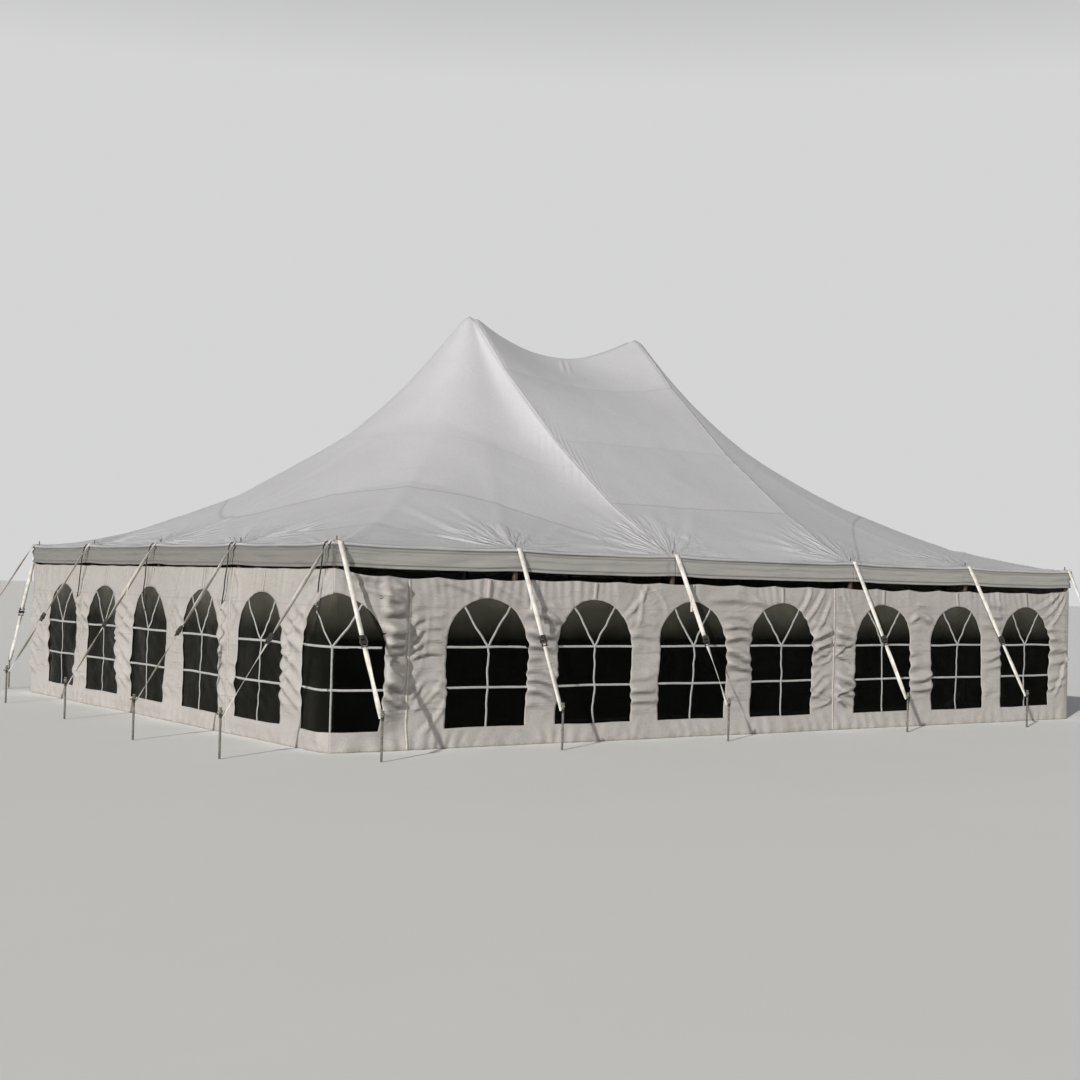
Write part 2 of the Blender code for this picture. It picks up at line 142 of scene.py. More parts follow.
def wander(u, v, seed):
    """Smooth random values from -1 to 1 that change about once for each 1 of u or v."""
    table = np.random.default_rng(seed).uniform(-1.0, 1.0, (64, 64))
    u, v = np.broadcast_arrays(np.asarray(u, float), np.asarray(v, float))
    iu, iv = np.floor(u).astype(int), np.floor(v).astype(int)
    fu, fv = smooth(u - iu), smooth(v - iv)
    low = table[iu % 64, iv % 64] * (1 - fu) + table[(iu + 1) % 64, iv % 64] * fu
    high = table[iu % 64, (iv + 1) % 64] * (1 - fu) + table[(iu + 1) % 64, (iv + 1) % 64] * fu
    return low * (1 - fv) + high * fv


def graded(start, end, marks, fine, coarse, reach):
    """Places from start to end whose spacing is fine at the marks and coarse from reach away."""
    t = np.linspace(start, end, 6001)
    near = np.min(np.abs(t[:, None] - np.array(marks)), axis=1)
    density = 1.0 / (fine + (coarse - fine) * smooth(near / reach))
    count = np.concatenate([[0.0], np.cumsum((density[1:] + density[:-1]) / 2 * np.diff(t))])
    return np.interp(np.linspace(0.0, count[-1], math.ceil(count[-1]) + 1), count, t)


def stepped(breaks, step):
    """Places that hold each of breaks, with even steps of at most step between them."""
    breaks = sorted(set(round(b, 6) for b in breaks))
    runs = [np.linspace(a, b, math.ceil((b - a) / step) + 1)[:-1] for a, b in zip(breaks, breaks[1:])]
    return np.concatenate(runs + [[breaks[-1]]])


# Meshes


def linked(name, data):
    """A new object with this mesh, lamp or camera, in the scene."""
    piece = bpy.data.objects.new(name, data)
    bpy.context.scene.collection.objects.link(piece)
    return piece


def store(mesh, name, kind, values):
    """Keeps a value or a vector for each point of a mesh, under a name."""
    key = "vector" if kind == "FLOAT_VECTOR" else "value"
    mesh.attributes.new(name, kind, "POINT").data.foreach_set(key, np.asarray(values, np.float32).ravel())


def settle(piece, slot, *nodes):
    """Gives a piece to the tent's one body, in place of the nodes that it stands for. slot is not used."""
    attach(piece, "root")
    if nodes:
        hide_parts(*nodes)


def grid_faces(index):
    """The four-sided faces between the neighbours of a grid of point numbers."""
    return np.stack([index[:-1, :-1], index[1:, :-1], index[1:, 1:], index[:-1, 1:]], axis=-1).reshape(-1, 4)


def new_piece(name, points, faces, flat=None, material=None, crease=None, hollow=None):
    """A mesh object in the tent's own frame.

    flat gives each point's place on the uncut cloth, in metres. crease gives its place across and along
    the fine creases, and how strong they are there. hollow is 1 where the cloth lies deep in a fold.
    """
    mesh = bpy.data.meshes.new(name)
    mesh.from_pydata(np.asarray(points).tolist(), [], faces)
    if flat is not None:
        corners = np.empty(len(mesh.loops), dtype=np.int32)
        mesh.loops.foreach_get("vertex_index", corners)
        places = np.asarray(flat, dtype=np.float32)[corners]
        mesh.uv_layers.new(name="flat").data.foreach_set("uv", places.ravel())
    if crease is not None:
        store(mesh, "crease", "FLOAT_VECTOR", crease)
    if hollow is not None:
        store(mesh, "hollow", "FLOAT", hollow)
    mesh.polygons.foreach_set("use_smooth", [True] * len(mesh.polygons))
    if material:
        mesh.materials.append(material)
    mesh.validate()
    return linked(name, mesh)


def thicken(piece, thickness):
    """Gives a sheet its thickness, inwards."""
    solid = piece.modifiers.new("cloth thickness", "SOLIDIFY")
    solid.thickness = thickness
    solid.offset = -1.0


def piece_from(build, name, material, smooth_faces=False):
    """A mesh object whose mesh build(bm) draws."""
    bm = bmesh.new()
    build(bm)
    bmesh.ops.remove_doubles(bm, verts=bm.verts, dist=1e-5)
    bmesh.ops.recalc_face_normals(bm, faces=bm.faces)
    mesh = bpy.data.meshes.new(name)
    bm.to_mesh(mesh)
    bm.free()
    mesh.polygons.foreach_set("use_smooth", [smooth_faces] * len(mesh.polygons))
    mesh.materials.append(material)
    return linked(name, mesh)


def around(radius, height, sides):
    """Points on a level circle about the Z axis."""
    turns = (2 * math.pi * i / sides for i in range(sides))
    return [Vector((radius * math.cos(turn), radius * math.sin(turn), height)) for turn in turns]


def bridge(bm, rings, closed):
    """Joins each ring of vertices to the next. Where it isn't closed, the first and the last get a face."""
    for low, high in zip(rings, rings[1:] + (rings[:1] if closed else [])):
        for i in range(len(low)):
            beyond = (i + 1) % len(low)
            bm.faces.new((low[i], low[beyond], high[beyond], high[i]))
    if not closed:
        bm.faces.new(rings[0])
        bm.faces.new(rings[-1])


def add_lathe(bm, profile, sides, place=Matrix.Identity(4), closed=False):
    """Turns a profile of (radius, height) around the Z axis of place. A closed profile makes a ring."""
    rings = [[bm.verts.new(place @ spot) for spot in around(radius, height, sides)]
             for radius, height in profile]
    bridge(bm, rings, closed)


def add_block(bm, low, high, bevel, place=Matrix.Identity(4)):
    """A block with rounded edges."""
    size = Vector(high) - Vector(low)
    middle = (Vector(high) + Vector(low)) / 2
    form = place @ Matrix.Translation(middle) @ Matrix.Diagonal(size).to_4x4()
    made = bmesh.ops.create_cube(bm, size=1.0, matrix=form)
    edges = list(dict.fromkeys(edge for vertex in made["verts"] for edge in vertex.link_edges))
    bmesh.ops.bevel(bm, geom=edges, offset=bevel, segments=1, profile=0.5, affect="EDGES")


def add_tube(bm, points, radius, sides, closed=False):
    """A round bar along points. Its ends are closed, or joined to each other."""
    points = [Vector(p) for p in points]
    count = len(points)
    rings = []
    side = None
    for i, point in enumerate(points):
        ahead = points[(i + 1) % count] if closed or i + 1 < count else point
        behind = points[i - 1] if closed or i > 0 else point
        along = (ahead - behind).normalized()
        if side is None:
            side = along.orthogonal().normalized()
        side = (side - along * side.dot(along)).normalized()
        turn = Matrix((side, along.cross(side), along)).transposed()
        rings.append([bm.verts.new(point + turn @ spot) for spot in around(radius, 0.0, sides)])
    bridge(bm, rings, closed)


# Node trees


def join(tree, entry, value):
    """Links a socket to a node's input, or sets the input to a plain value."""
    if isinstance(value, bpy.types.NodeSocket):
        tree.links.new(value, entry)
    else:
        entry.default_value = value


def node(tree, kind, settings=None, inputs=None, stops=None):
    """Adds a node: settings are its own options, inputs are values or sockets, and stops go into its ramp."""
    made = tree.nodes.new(kind)
    for key, value in (settings or {}).items():
        setattr(made, key, value)
    for key, value in (inputs or {}).items():
        join(tree, made.inputs[key], value)
    if stops:
        ramp = made.color_ramp.elements
        while len(ramp) < len(stops):
            ramp.new(0.5)
        for element, (position, colour) in zip(ramp, stops):
            element.position = position
            element.color = colour
    return made


def calc(tree, operation, *inputs):
    """The result of a sum on sockets or numbers."""
    return node(tree, "ShaderNodeMath", {"operation": operation}, dict(enumerate(inputs))).outputs[0]


def remap(tree, value, low, high, least, most):
    """A value that runs from least to most while the given one runs from low to high."""
    return node(tree, "ShaderNodeMapRange", None, {0: value, 1: low, 2: high, 3: least, 4: most}).outputs[0]


def noise(tree, place, scale, detail=2.0, roughness=0.5, distortion=0.0):
    """Soft random values from 0 to 1 over a place."""
    return node(tree, "ShaderNodeTexNoise", None, {
        "Vector": place, "Scale": scale, "Detail": detail, "Roughness": roughness,
        "Distortion": distortion}).outputs["Fac"]


def mixed(tree, share, first, second, blend="MIX"):
    """Two colours, mixed by a share of the second."""
    return node(tree, "ShaderNodeMix", {"data_type": "RGBA", "blend_type": blend},
                {0: share, 6: first, 7: second}).outputs[2]


def ramp(tree, share, *stops):
    """A colour ramp."""
    return node(tree, "ShaderNodeValToRGB", None, {"Fac": share}, stops).outputs["Color"]


def bump(tree, height, strength, distance, below=None):
    """A normal bent by a relief, over another one where there are two."""
    under = {} if below is None else {"Normal": below}
    return node(tree, "ShaderNodeBump", None,
                {"Height": height, "Strength": strength, "Distance": distance, **under}).outputs[0]


def axes_of(tree, place):
    """The three parts of a vector."""
    return node(tree, "ShaderNodeSeparateXYZ", None, {0: place}).outputs


def stretched(tree, place, scale):
    """A place whose axes are scaled, so that a pattern over it is drawn out or packed."""
    return node(tree, "ShaderNodeMapping", None, {"Vector": place, "Scale": scale}).outputs[0]


def held(tree, name):
    """A named attribute of the mesh."""
    return node(tree, "ShaderNodeAttribute", {"attribute_name": name}).outputs


def new_material(name):
    """An empty node material. Returns it, its tree, its shader and its place: object and UV coordinates."""
    material = bpy.data.materials.new(name)
    material.use_nodes = True
    tree = material.node_tree
    tree.nodes.clear()
    shader = node(tree, "ShaderNodeBsdfPrincipled")
    node(tree, "ShaderNodeOutputMaterial", None, {"Surface": shader.outputs[0]})
    return material, tree, shader, node(tree, "ShaderNodeTexCoord").outputs


def dress(tree, shader, inputs):
    """Gives a shader its values and sockets."""
    for key, value in inputs.items():
        join(tree, shader.inputs[key], value)


def grey(level):
    """A linear grey."""
    return (level, level, level, 1.0)


def seam_lines(tree, distance, places, full, half_width, strengths=None):
    """White over distances from 0 to full, but for a dark line at each place."""
    stops = [(0.0, grey(1.0))]
    for place, strength in zip(places, strengths or [1.0] * len(places)):
        stops += [((place - half_width) / full, grey(1.0)), (place / full, grey(1.0 - strength)),
                  ((place + half_width) / full, grey(1.0))]
    return ramp(tree, calc(tree, "DIVIDE", distance, full), *stops)


def cloth_colour(tree, cloud, speck, colour, soiled, clouds):
    """The cloth's own colour, in soft clouds of two tones and speckled by its weave."""
    patch = ramp(tree, cloud, (0.3, grey(0.0)), (0.75, grey(1.0)))
    base = mixed(tree, calc(tree, "MULTIPLY", patch, clouds), colour, soiled)
    return mixed(tree, 1.0, base, remap(tree, speck, 0.3, 0.7, 0.89, 1.08), "MULTIPLY")


def darkened_by_height(tree, place, cloth, settings):
    """Darkens the cloth over a band of heights, and the tent's two ends more than its long sides."""
    x, _, z = axes_of(tree, place)
    # On the canopy the band is the valance, made darker as painted shade; on the walls the cloth is darker
    # towards the top.
    fringe = remap(tree, z, *settings["darkened"])
    darkened = mixed(tree, fringe, cloth, settings["darkened_colour"])
    # Painted shade: the valances of the two ends are darker still.
    outer = calc(tree, "ABSOLUTE", x)
    end = remap(tree, outer, HALF_LENGTH - 0.05, HALF_LENGTH, 0.0, settings["end_darkened"])
    return mixed(tree, calc(tree, "MULTIPLY", end, fringe), darkened, linear("#6B6965"))


def hem_dirt(tree, place, cloth, amount):
    """Mud on the cloth's foot, up to an uneven line."""
    edge = calc(tree, "MULTIPLY_ADD", noise(tree, place, 7.0, 6.0, 0.7), -0.35, 0.2)
    height = calc(tree, "ADD", axes_of(tree, place)["Z"], edge)
    return mixed(tree, remap(tree, height, 0.0, 0.07, amount, 0.0), cloth, linear("#8A8270"))


def fold_painted_shade(tree, cloth, amount):
    """Painted shade in the hollows and on the undersides of the folds."""
    share = calc(tree, "MULTIPLY", held(tree, "hollow")["Fac"], amount)
    return mixed(tree, share, cloth, linear("#4E4B47"))


def cloth_relief(tree, place, speck, weld, settings):
    """The normal of cloth that is crumpled, woven, grooved at its welds and finely creased."""
    crumple = noise(tree, place, settings["crumple_scale"], 4.0, 0.55)
    soft = bump(tree, crumple, settings["crumple"], 0.02)
    groove = bump(tree, weld, 0.35, 0.002, bump(tree, speck, 0.25, 0.002, soft))
    # Fine creases too sharp for the mesh: long in one direction and close together in the other.
    crease = held(tree, "crease")["Vector"]
    fold = noise(tree, stretched(tree, crease, (*settings["crease_scale"], 0.0)), 1.0, 2.5, 0.5, 0.35)
    valley = calc(tree, "ABSOLUTE", calc(tree, "SUBTRACT", fold, 0.5))
    height = calc(tree, "MULTIPLY", valley, axes_of(tree, crease)["Z"])
    return bump(tree, height, 1.0, settings["crease_depth"], groove)


def cloth_material(name, colour, soiled, seams, settings):
    """PVC-coated polyester cloth: a matt, faintly woven sheet, cloudy with use and darker at each weld.

    seams(tree, places) returns a socket that is 1 on plain cloth and falls to 0 on a weld. settings says how
    strongly the cloth soils, over which heights it is darker, and how much painted shade its folds get.
    """
    material, tree, shader, places = new_material(name)
    place = places["Object"]
    cloud = noise(tree, place, 0.9, 5.0, 0.6)
    # Thread count is too fine to show, so the weave is drawn at 12 mm.
    speck = noise(tree, place, 80.0)
    weld = seams(tree, places)
    cloth = cloth_colour(tree, cloud, speck, colour, soiled, settings["clouds"])
    cloth = darkened_by_height(tree, place, cloth, settings)
    cloth = hem_dirt(tree, place, cloth, settings["hem_dirt"])
    cloth = mixed(tree, weld, settings["weld_colour"], cloth)
    dress(tree, shader, {
        "Base Color": fold_painted_shade(tree, cloth, settings["hollow_painted_shade"]),
        "Roughness": remap(tree, cloud, 0.0, 1.0, 0.5, 0.7),
        "IOR": 1.5,
        "Sheen Weight": 0.08,
        "Normal": cloth_relief(tree, place, speck, weld, settings)})
    return material


def valance_lines(tree, places, canopy):
    """The canopy's weld socket, joined by dark lines along the valance's head and hem: partly stitching,
    partly painted shade of its creases.
    """
    x, y, _ = axes_of(tree, places["UV"])
    drops = [calc(tree, "SUBTRACT", calc(tree, "ABSOLUTE", spot), edge + OVERHANG)
             for spot, edge in ((x, HALF_LENGTH), (y, HALF_WIDTH))]
    drop = calc(tree, "MAXIMUM", *drops)
    # These lines are drawn wide and dark: painted shade of the valance's rolled creases over its stitch
    # lines.
    stitch_and_crease_shade = seam_lines(tree, drop, (0.038, 0.068, 0.215), 0.26, 0.014, (1.0, 0.6, 0.9))
    return calc(tree, "MINIMUM", canopy, stitch_and_crease_shade)


def middle_welds(tree, places):
    """Welds along the middle section, parallel to the line of the peaks."""
    across = calc(tree, "ABSOLUTE", axes_of(tree, places["Object"])["Y"])
    welds = seam_lines(tree, across, MIDDLE_WELDS, 5.0, 0.011, (0.15, 0.42, 0.3))
    return valance_lines(tree, places, welds)


def end_welds(tree, places):
    """Welds across the end sections, square to the line from each peak to its corners, and bowed."""
    x, y, _ = axes_of(tree, places["Object"])
    along, wide = calc(tree, "ABSOLUTE", x), calc(tree, "ABSOLUTE", y)
    across = calc(tree, "SQRT", calc(tree, "MULTIPLY_ADD", y, y, WELD_BOW ** 2))
    inward = calc(tree, "SUBTRACT", HALF_LENGTH + HALF_WIDTH, calc(tree, "ADD", along, across))
    # Over the hips, where the slope turns from the long side to the end, the welds bow towards the corner.
    off_hip = calc(tree, "SUBTRACT", calc(tree, "SUBTRACT", along, wide), PEAK_X)
    falling = calc(tree, "MULTIPLY", calc(tree, "MULTIPLY", off_hip, off_hip), -1.0 / HIP_BOW_WIDTH ** 2)
    bowed = calc(tree, "MULTIPLY_ADD", calc(tree, "EXPONENT", falling), HIP_BOW, inward)
    return valance_lines(tree, places, seam_lines(tree, bowed, END_WELDS, 11.0, 0.016, (0.32, 0.42, 0.25)))


def wall_welds(tree, places):
    """Level welds around the walls, one under the windows and two across them."""
    return seam_lines(tree, axes_of(tree, places["UV"])["Y"], (0.42, 1.0, 1.5), 2.0, 0.008)


def film_material():
    """Clear PVC window film, pressed smooth: a glossy skin that shows the dark inside and little else."""
    material, tree, shader, places = new_material("clear pressed PVC film")
    place = places["Object"]
    haze = noise(tree, place, 2.5, 4.0)
    # Painted shade: the film is nearly black and mostly opaque, for the dark inside of the tent seen through
    # it.
    tone = ramp(tree, haze, (0.3, linear("#020302")), (0.8, linear("#070906")))
    # Painted light: the heads of the arches are lighter, for the glow from under the roof seen through
    # them, and so are the panes of the ends.
    x, _, z = axes_of(tree, place)
    head = remap(tree, z, 1.15, 1.6, 0.0, 1.0)
    end = remap(tree, calc(tree, "ABSOLUTE", x), HALF_LENGTH - 0.05, HALF_LENGTH - 0.01, 0.0, 0.10)
    share = calc(tree, "MULTIPLY", calc(tree, "MAXIMUM", head, end), haze)
    dress(tree, shader, {
        "Base Color": mixed(tree, share, tone, linear("#6A685C")),
        "Roughness": remap(tree, haze, 0.0, 1.0, 0.12, 0.3),
        "IOR": 1.53,
        "Specular IOR Level": 0.03,
        "Alpha": 0.86,
        "Normal": bump(tree, noise(tree, place, 5.0), 0.35, 0.03)})
    return material


def tones(*hexcodes):
    """Several sRGB hex colours as linear ones."""
    return [linear(hexcode) for hexcode in hexcodes]


def speckled_material(name, colours, scale, roughness, relief=0.2, metallic=0.0, specular=0.5):
    """A finish of two colours in patches, with roughness and relief that follow them."""
    material, tree, shader, places = new_material(name)
    patch = noise(tree, places["Object"], scale, 6.0, 0.65)
    dress(tree, shader, {
        "Base Color": ramp(tree, patch, *zip((0.32, 0.68), colours)),
        "Roughness": remap(tree, patch, 0.0, 1.0, *roughness),
        "Metallic": metallic,
        "Specular IOR Level": specular,
        "Normal": bump(tree, patch, relief, 0.003)})
    return material


def webbing_material(name, colour, worn, patches):
    """Woven polyester webbing: matt, with cross ribs, and greyer in patches where it rubs."""
    material, tree, shader, places = new_material(name)
    # The real ribs are 1.5 mm apart. They are drawn at 6 mm, so that they show.
    rib = calc(tree, "SINE", calc(tree, "MULTIPLY", held(tree, "run")["Fac"], 2 * math.pi / 0.006))
    grime = noise(tree, places["Object"], patches, 5.0)
    dress(tree, shader, {
        "Base Color": ramp(tree, grime, (0.35, worn), (0.6, colour)),
        "Roughness": 0.75,
        "Sheen Weight": 0.1,
        "Normal": bump(tree, rib, 0.4, 0.001)})
    return material


def pole_material(name, wood):
    """A side pole of turned softwood, oiled brown and worn, with a steel ferrule and pin at its top."""
    material, tree, shader, places = new_material(name)
    place = places["Object"]
    grain = noise(tree, stretched(tree, place, (18.0, 18.0, 1.1)), 3.0, 6.0, 0.6, 0.6)
    tone = ramp(tree, grain, (0.3, wood[0]), (0.7, wood[1]))
    metal = calc(tree, "GREATER_THAN", axes_of(tree, place)["Z"], FERRULE_FOOT)
    dress(tree, shader, {
        "Base Color": mixed(tree, metal, tone, linear("#6E6A66")),
        "Metallic": metal,
        "Roughness": remap(tree, grain, 0.0, 1.0, 0.45, 0.7),
        "Normal": bump(tree, grain, 0.3, 0.002)})
    return material


def new_tree(name, inputs):
    """A Geometry Nodes tree with one geometry in and out and the named inputs. Returns it and its inputs."""
    tree = bpy.data.node_groups.new(name, "GeometryNodeTree")
    tree.interface.new_socket("Geometry", in_out="INPUT", socket_type="NodeSocketGeometry")
    for label, kind, default in inputs:
        socket = tree.interface.new_socket(label, in_out="INPUT", socket_type=kind)
        if default is not None:
            socket.default_value = default
    tree.interface.new_socket("Geometry", in_out="OUTPUT", socket_type="NodeSocketGeometry")
    return tree, node(tree, "NodeGroupInput").outputs


def stored(tree, name, kind="FLOAT_VECTOR"):
    """A named attribute of the points, inside a Geometry Nodes tree."""
    return node(tree, "GeometryNodeInputNamedAttribute", {"data_type": kind}, {0: name}).outputs[0]


def close_tree(tree, entry, geometry):
    """Ends a tree: real meshes in place of instances, and the material."""
    real = node(tree, "GeometryNodeRealizeInstances", None, {0: geometry})
    dressed = node(tree, "GeometryNodeSetMaterial", None, {0: real.outputs[0], 2: entry["Material"]})
    node(tree, "NodeGroupOutput", None, {0: dressed.outputs[0]})


def tape_tree():
    """A flat tape along each run of edges. The face of the tape looks along the attribute face_way."""
    tree, entry = new_tree("tape along a path", [
        ("Width", "NodeSocketFloat", 0.05), ("Thickness", "NodeSocketFloat", 0.003),
        ("Material", "NodeSocketMaterial", None)])
    run = node(tree, "GeometryNodeMeshToCurve", None, {0: entry["Geometry"]})
    facing = node(tree, "GeometryNodeSetCurveNormal", {"mode": "FREE"},
                  {0: run.outputs[0], 2: stored(tree, "face_way")})
    distance = node(tree, "GeometryNodeSplineParameter")
    marked = node(tree, "GeometryNodeStoreNamedAttribute", {"data_type": "FLOAT", "domain": "POINT"},
                  {0: facing.outputs[0], 2: "run", 3: distance.outputs["Length"]})
    profile = node(tree, "GeometryNodeCurvePrimitiveQuadrilateral", None,
                   {0: entry["Thickness"], 1: entry["Width"]})
    tape = node(tree, "GeometryNodeCurveToMesh", None,
                {0: marked.outputs[0], 1: profile.outputs[0], 2: stored(tree, "girth", "FLOAT"), 3: True})
    close_tree(tree, entry, tape.outputs[0])
    return tree


def fitting_tree():
    """A fitting at each point, its length along run_way and its top along face_way, all but alike."""
    tree, entry = new_tree("fittings at points", [
        ("Fitting", "NodeSocketObject", None), ("Least Size", "NodeSocketFloat", 0.97),
        ("Most Size", "NodeSocketFloat", 1.03), ("Seed", "NodeSocketInt", 1),
        ("Material", "NodeSocketMaterial", None)])
    turn = node(tree, "FunctionNodeAxesToRotation", {"primary_axis": "X", "secondary_axis": "Z"},
                {0: stored(tree, "run_way"), 1: stored(tree, "face_way")})
    size = node(tree, "FunctionNodeRandomValue", {"data_type": "FLOAT"},
                {2: entry["Least Size"], 3: entry["Most Size"], 8: entry["Seed"]})
    thing = node(tree, "GeometryNodeObjectInfo", {"transform_space": "ORIGINAL"}, {0: entry["Fitting"]})
    placed = node(tree, "GeometryNodeInstanceOnPoints", None, {
        0: entry["Geometry"], 2: thing.outputs["Geometry"], 5: turn.outputs[0], 6: size.outputs[1]})
    close_tree(tree, entry, placed.outputs[0])
    return tree


def through_nodes(piece, tree, inputs):
    """Runs a piece through a tree with these inputs, and leaves the result as its plain mesh."""
    grown = piece.modifiers.new(tree.name, "NODES")
    grown.node_group = tree
    for item in tree.interface.items_tree:
        if item.item_type == "SOCKET" and item.in_out == "INPUT" and item.name in inputs:
            grown[item.identifier] = inputs[item.name]
    graph = bpy.context.evaluated_depsgraph_get()
    mesh = bpy.data.meshes.new_from_object(piece.evaluated_get(graph), preserve_all_data_layers=True,
                                           depsgraph=graph)
    piece.modifiers.clear()
    if len(mesh.polygons) == 0:
        raise RuntimeError(f"{piece.name}: the tree {tree.name} made no faces")
    start, piece.data = piece.data, mesh
    bpy.data.meshes.remove(start)
    mesh.name = piece.name
    return piece


def path_piece(name, runs):
    """An object of bare edges. Each run is a list of (point, face direction, girth)."""
    mesh = bpy.data.meshes.new(name)
    points, edges, ways, girths = [], [], [], []
    for run in runs:
        first = len(points)
        for point, way, girth in run:
            points.append(tuple(point))
            ways.append(tuple(way))
            girths.append(girth)
        edges += [(i, i + 1) for i in range(first, len(points) - 1)]
    mesh.from_pydata(points, edges, [])
    store(mesh, "face_way", "FLOAT_VECTOR", ways)
    store(mesh, "girth", "FLOAT", girths)
    return linked(name, mesh)


def place_fittings(name, spots, fitting, seed, spread=0.03):
    """Copies of a fitting at spots of (point, length way, top way), as one piece. The fitting goes."""
    mesh = bpy.data.meshes.new(name)
    mesh.from_pydata([tuple(point) for point, _, _ in spots], [], [])
    store(mesh, "run_way", "FLOAT_VECTOR", [tuple(way) for _, way, _ in spots])
    store(mesh, "face_way", "FLOAT_VECTOR", [tuple(top) for _, _, top in spots])
    piece = linked(name, mesh)
    through_nodes(piece, shared_tree("fittings at points", fitting_tree), {
        "Fitting": fitting, "Least Size": 1.0 - spread, "Most Size": 1.0 + spread, "Seed": seed,
        "Material": fitting.data.materials[0]})
    bpy.data.objects.remove(fitting)
    return piece


def shared_tree(name, build):
    """The tree of this name, built the first time that it is asked for."""
    return bpy.data.node_groups.get(name) or build()


def tape_piece(name, runs, width, thickness, material):
    """A piece of flat tape along the runs."""
    piece = path_piece(name, runs)
    return through_nodes(piece, shared_tree("tape along a path", tape_tree),
                         {"Width": width, "Thickness": thickness, "Material": material})


# The canopy


def canopy_height(x, y):
    """Height of the tensioned canopy over its plan: two peaks, a saddle between them, hollow slopes."""
    along = np.maximum(np.abs(x) - PEAK_X, 0.0)
    across = np.abs(y)
    reach = HALF_WIDTH - EAVE_BAND
    square = np.minimum(np.maximum(along, across) / reach, 1.0)
    rounded = (along ** ROUND_POWER + across ** ROUND_POWER) ** (1 / ROUND_POWER) / reach
    s = square + (rounded - square) * (1 - square) ** SQUARING_POWER
    s = np.minimum(np.maximum(s - PEAK_FLAT / reach, 0.0) / (1 - PEAK_FLAT / reach), 1.0)
    off_seam = 1 - np.exp(-np.arctan2(along, across + 1e-9) / SEAM_WIDTH_ANGLE)
    hollow = SEAM_HOLLOW + (END_HOLLOW - SEAM_HOLLOW) * off_seam
    rise = (1 - s) * (1 - hollow * s) - off_seam * PEAK_HOLLOW * s * (1 - s) ** 3
    between = np.minimum(np.abs(x) / (PEAK_X - PEAK_FLAT), 1.0)
    saddle = SADDLE_DEPTH * (1 - between ** 2) * np.exp(-(across / SADDLE_REACH) ** 2)
    return EAVE_HEIGHT + (PEAK_HEIGHT - EAVE_HEIGHT) * rise - saddle


def side_pins():
    """Each side pole's pin: its place in plan and the way from it to the middle of the cloth it holds."""
    pins = []
    for x in LONG_POLES:
        for side in (-1, 1):
            peak = math.copysign(PEAK_X, x)
            toward = math.atan2(-side * HALF_WIDTH, peak - x if abs(x) > PEAK_X + 0.1 else 0.0)
            pins.append((x, side * (HALF_WIDTH - PIN_INSET), toward))
    for y in END_POLES[1:-1]:
        for side in (-1, 1):
            pins.append((side * (HALF_LENGTH - PIN_INSET), y, math.atan2(-y, -side * (HALF_LENGTH - PEAK_X))))
    return pins


def at_corner(px, py):
    """Whether a pin stands at a corner of the tent."""
    return abs(px) > HALF_LENGTH - 0.1 and abs(py) > HALF_WIDTH - 0.1


def fan(x, y, pin, toward, spread, depth, reach, count, seed):
    """Creases that run out from a pin like the ribs of a fan. Those beside the eave are longest."""
    dx, dy = x - pin[0], y - pin[1]
    r = np.hypot(dx, dy)
    total = np.zeros_like(r)
    near = r < reach * 6
    angle = np.arctan2(dy[near], dx[near]) - toward
    angle = (angle + math.pi) % (2 * math.pi) - math.pi
    radius = r[near]
    rng = np.random.default_rng(seed)
    for place in np.linspace(-spread, spread, count):
        flat_way = abs(place) / spread
        place += rng.uniform(-0.4, 0.4) * 2 * spread / count
        width = rng.uniform(0.035, 0.06)
        length = reach * rng.uniform(0.6, 1.1) * (1.0 + 0.5 * flat_way)
        height = depth * rng.uniform(0.45, 1.0) * (0.6 + 0.6 * flat_way)
        bow = rng.uniform(-0.08, 0.08)
        swell = (radius / length) ** 0.8 * np.exp(0.8 * (1 - (radius / length) ** 1.3))
        beside = angle - place - bow * radius / reach
        wide = width + 0.014 / (radius + 0.12)
        total[near] += height * swell * (hump(beside, wide) - 0.7 * hump(beside - 1.7 * wide, wide))
    return total


def seam_puckers(x, y, depth):
    """Short slanting gathers on both sides of the four seams that run down from the peaks."""
    total = np.zeros_like(x)
    for peak, first in ((-PEAK_X, 11), (PEAK_X, 23)):
        for side, seed in ((-1, first), (1, first + 5)):
            outer = np.sign(peak) * (x - peak)
            down = side * y
            end_side = outer > 0
            phase = (np.where(end_side, 0.48, 0.94) * outer - 0.35 * down
                     + 0.012 * wander(down * 2.2, outer * 3, seed))
            ripple = np.sin(2 * math.pi * phase / 0.062)
            patch = hump(down - 2.5, 0.8) * (0.6 + 0.4 * wander(down * 1.7, 0.5, seed + 1))
            patch += np.where(end_side, 0.0, 0.6 * hump(down - 0.45, 0.35)) + 0.35 * hump(down - 3.9, 0.3)
            across = np.abs(outer)
            swell = (0.25 * (across / 0.05) * np.exp(1 - across / 0.05)
                     + (across / 0.15) * np.exp(1 - across / 0.15))
            inside = (down > 0.1) & (down < HALF_WIDTH - 0.1)
            finger = np.floor(phase / 0.062 + 0.25)
            length = 0.17 + 0.11 * wander(finger * 0.73, 0.5, seed + 2)
            fade = hump(across, length) * (0.65 + 0.35 * wander(finger * 0.61, 3.5, seed + 3))
            total += np.where(inside, depth * patch * swell * ripple * fade, 0.0)
    return total


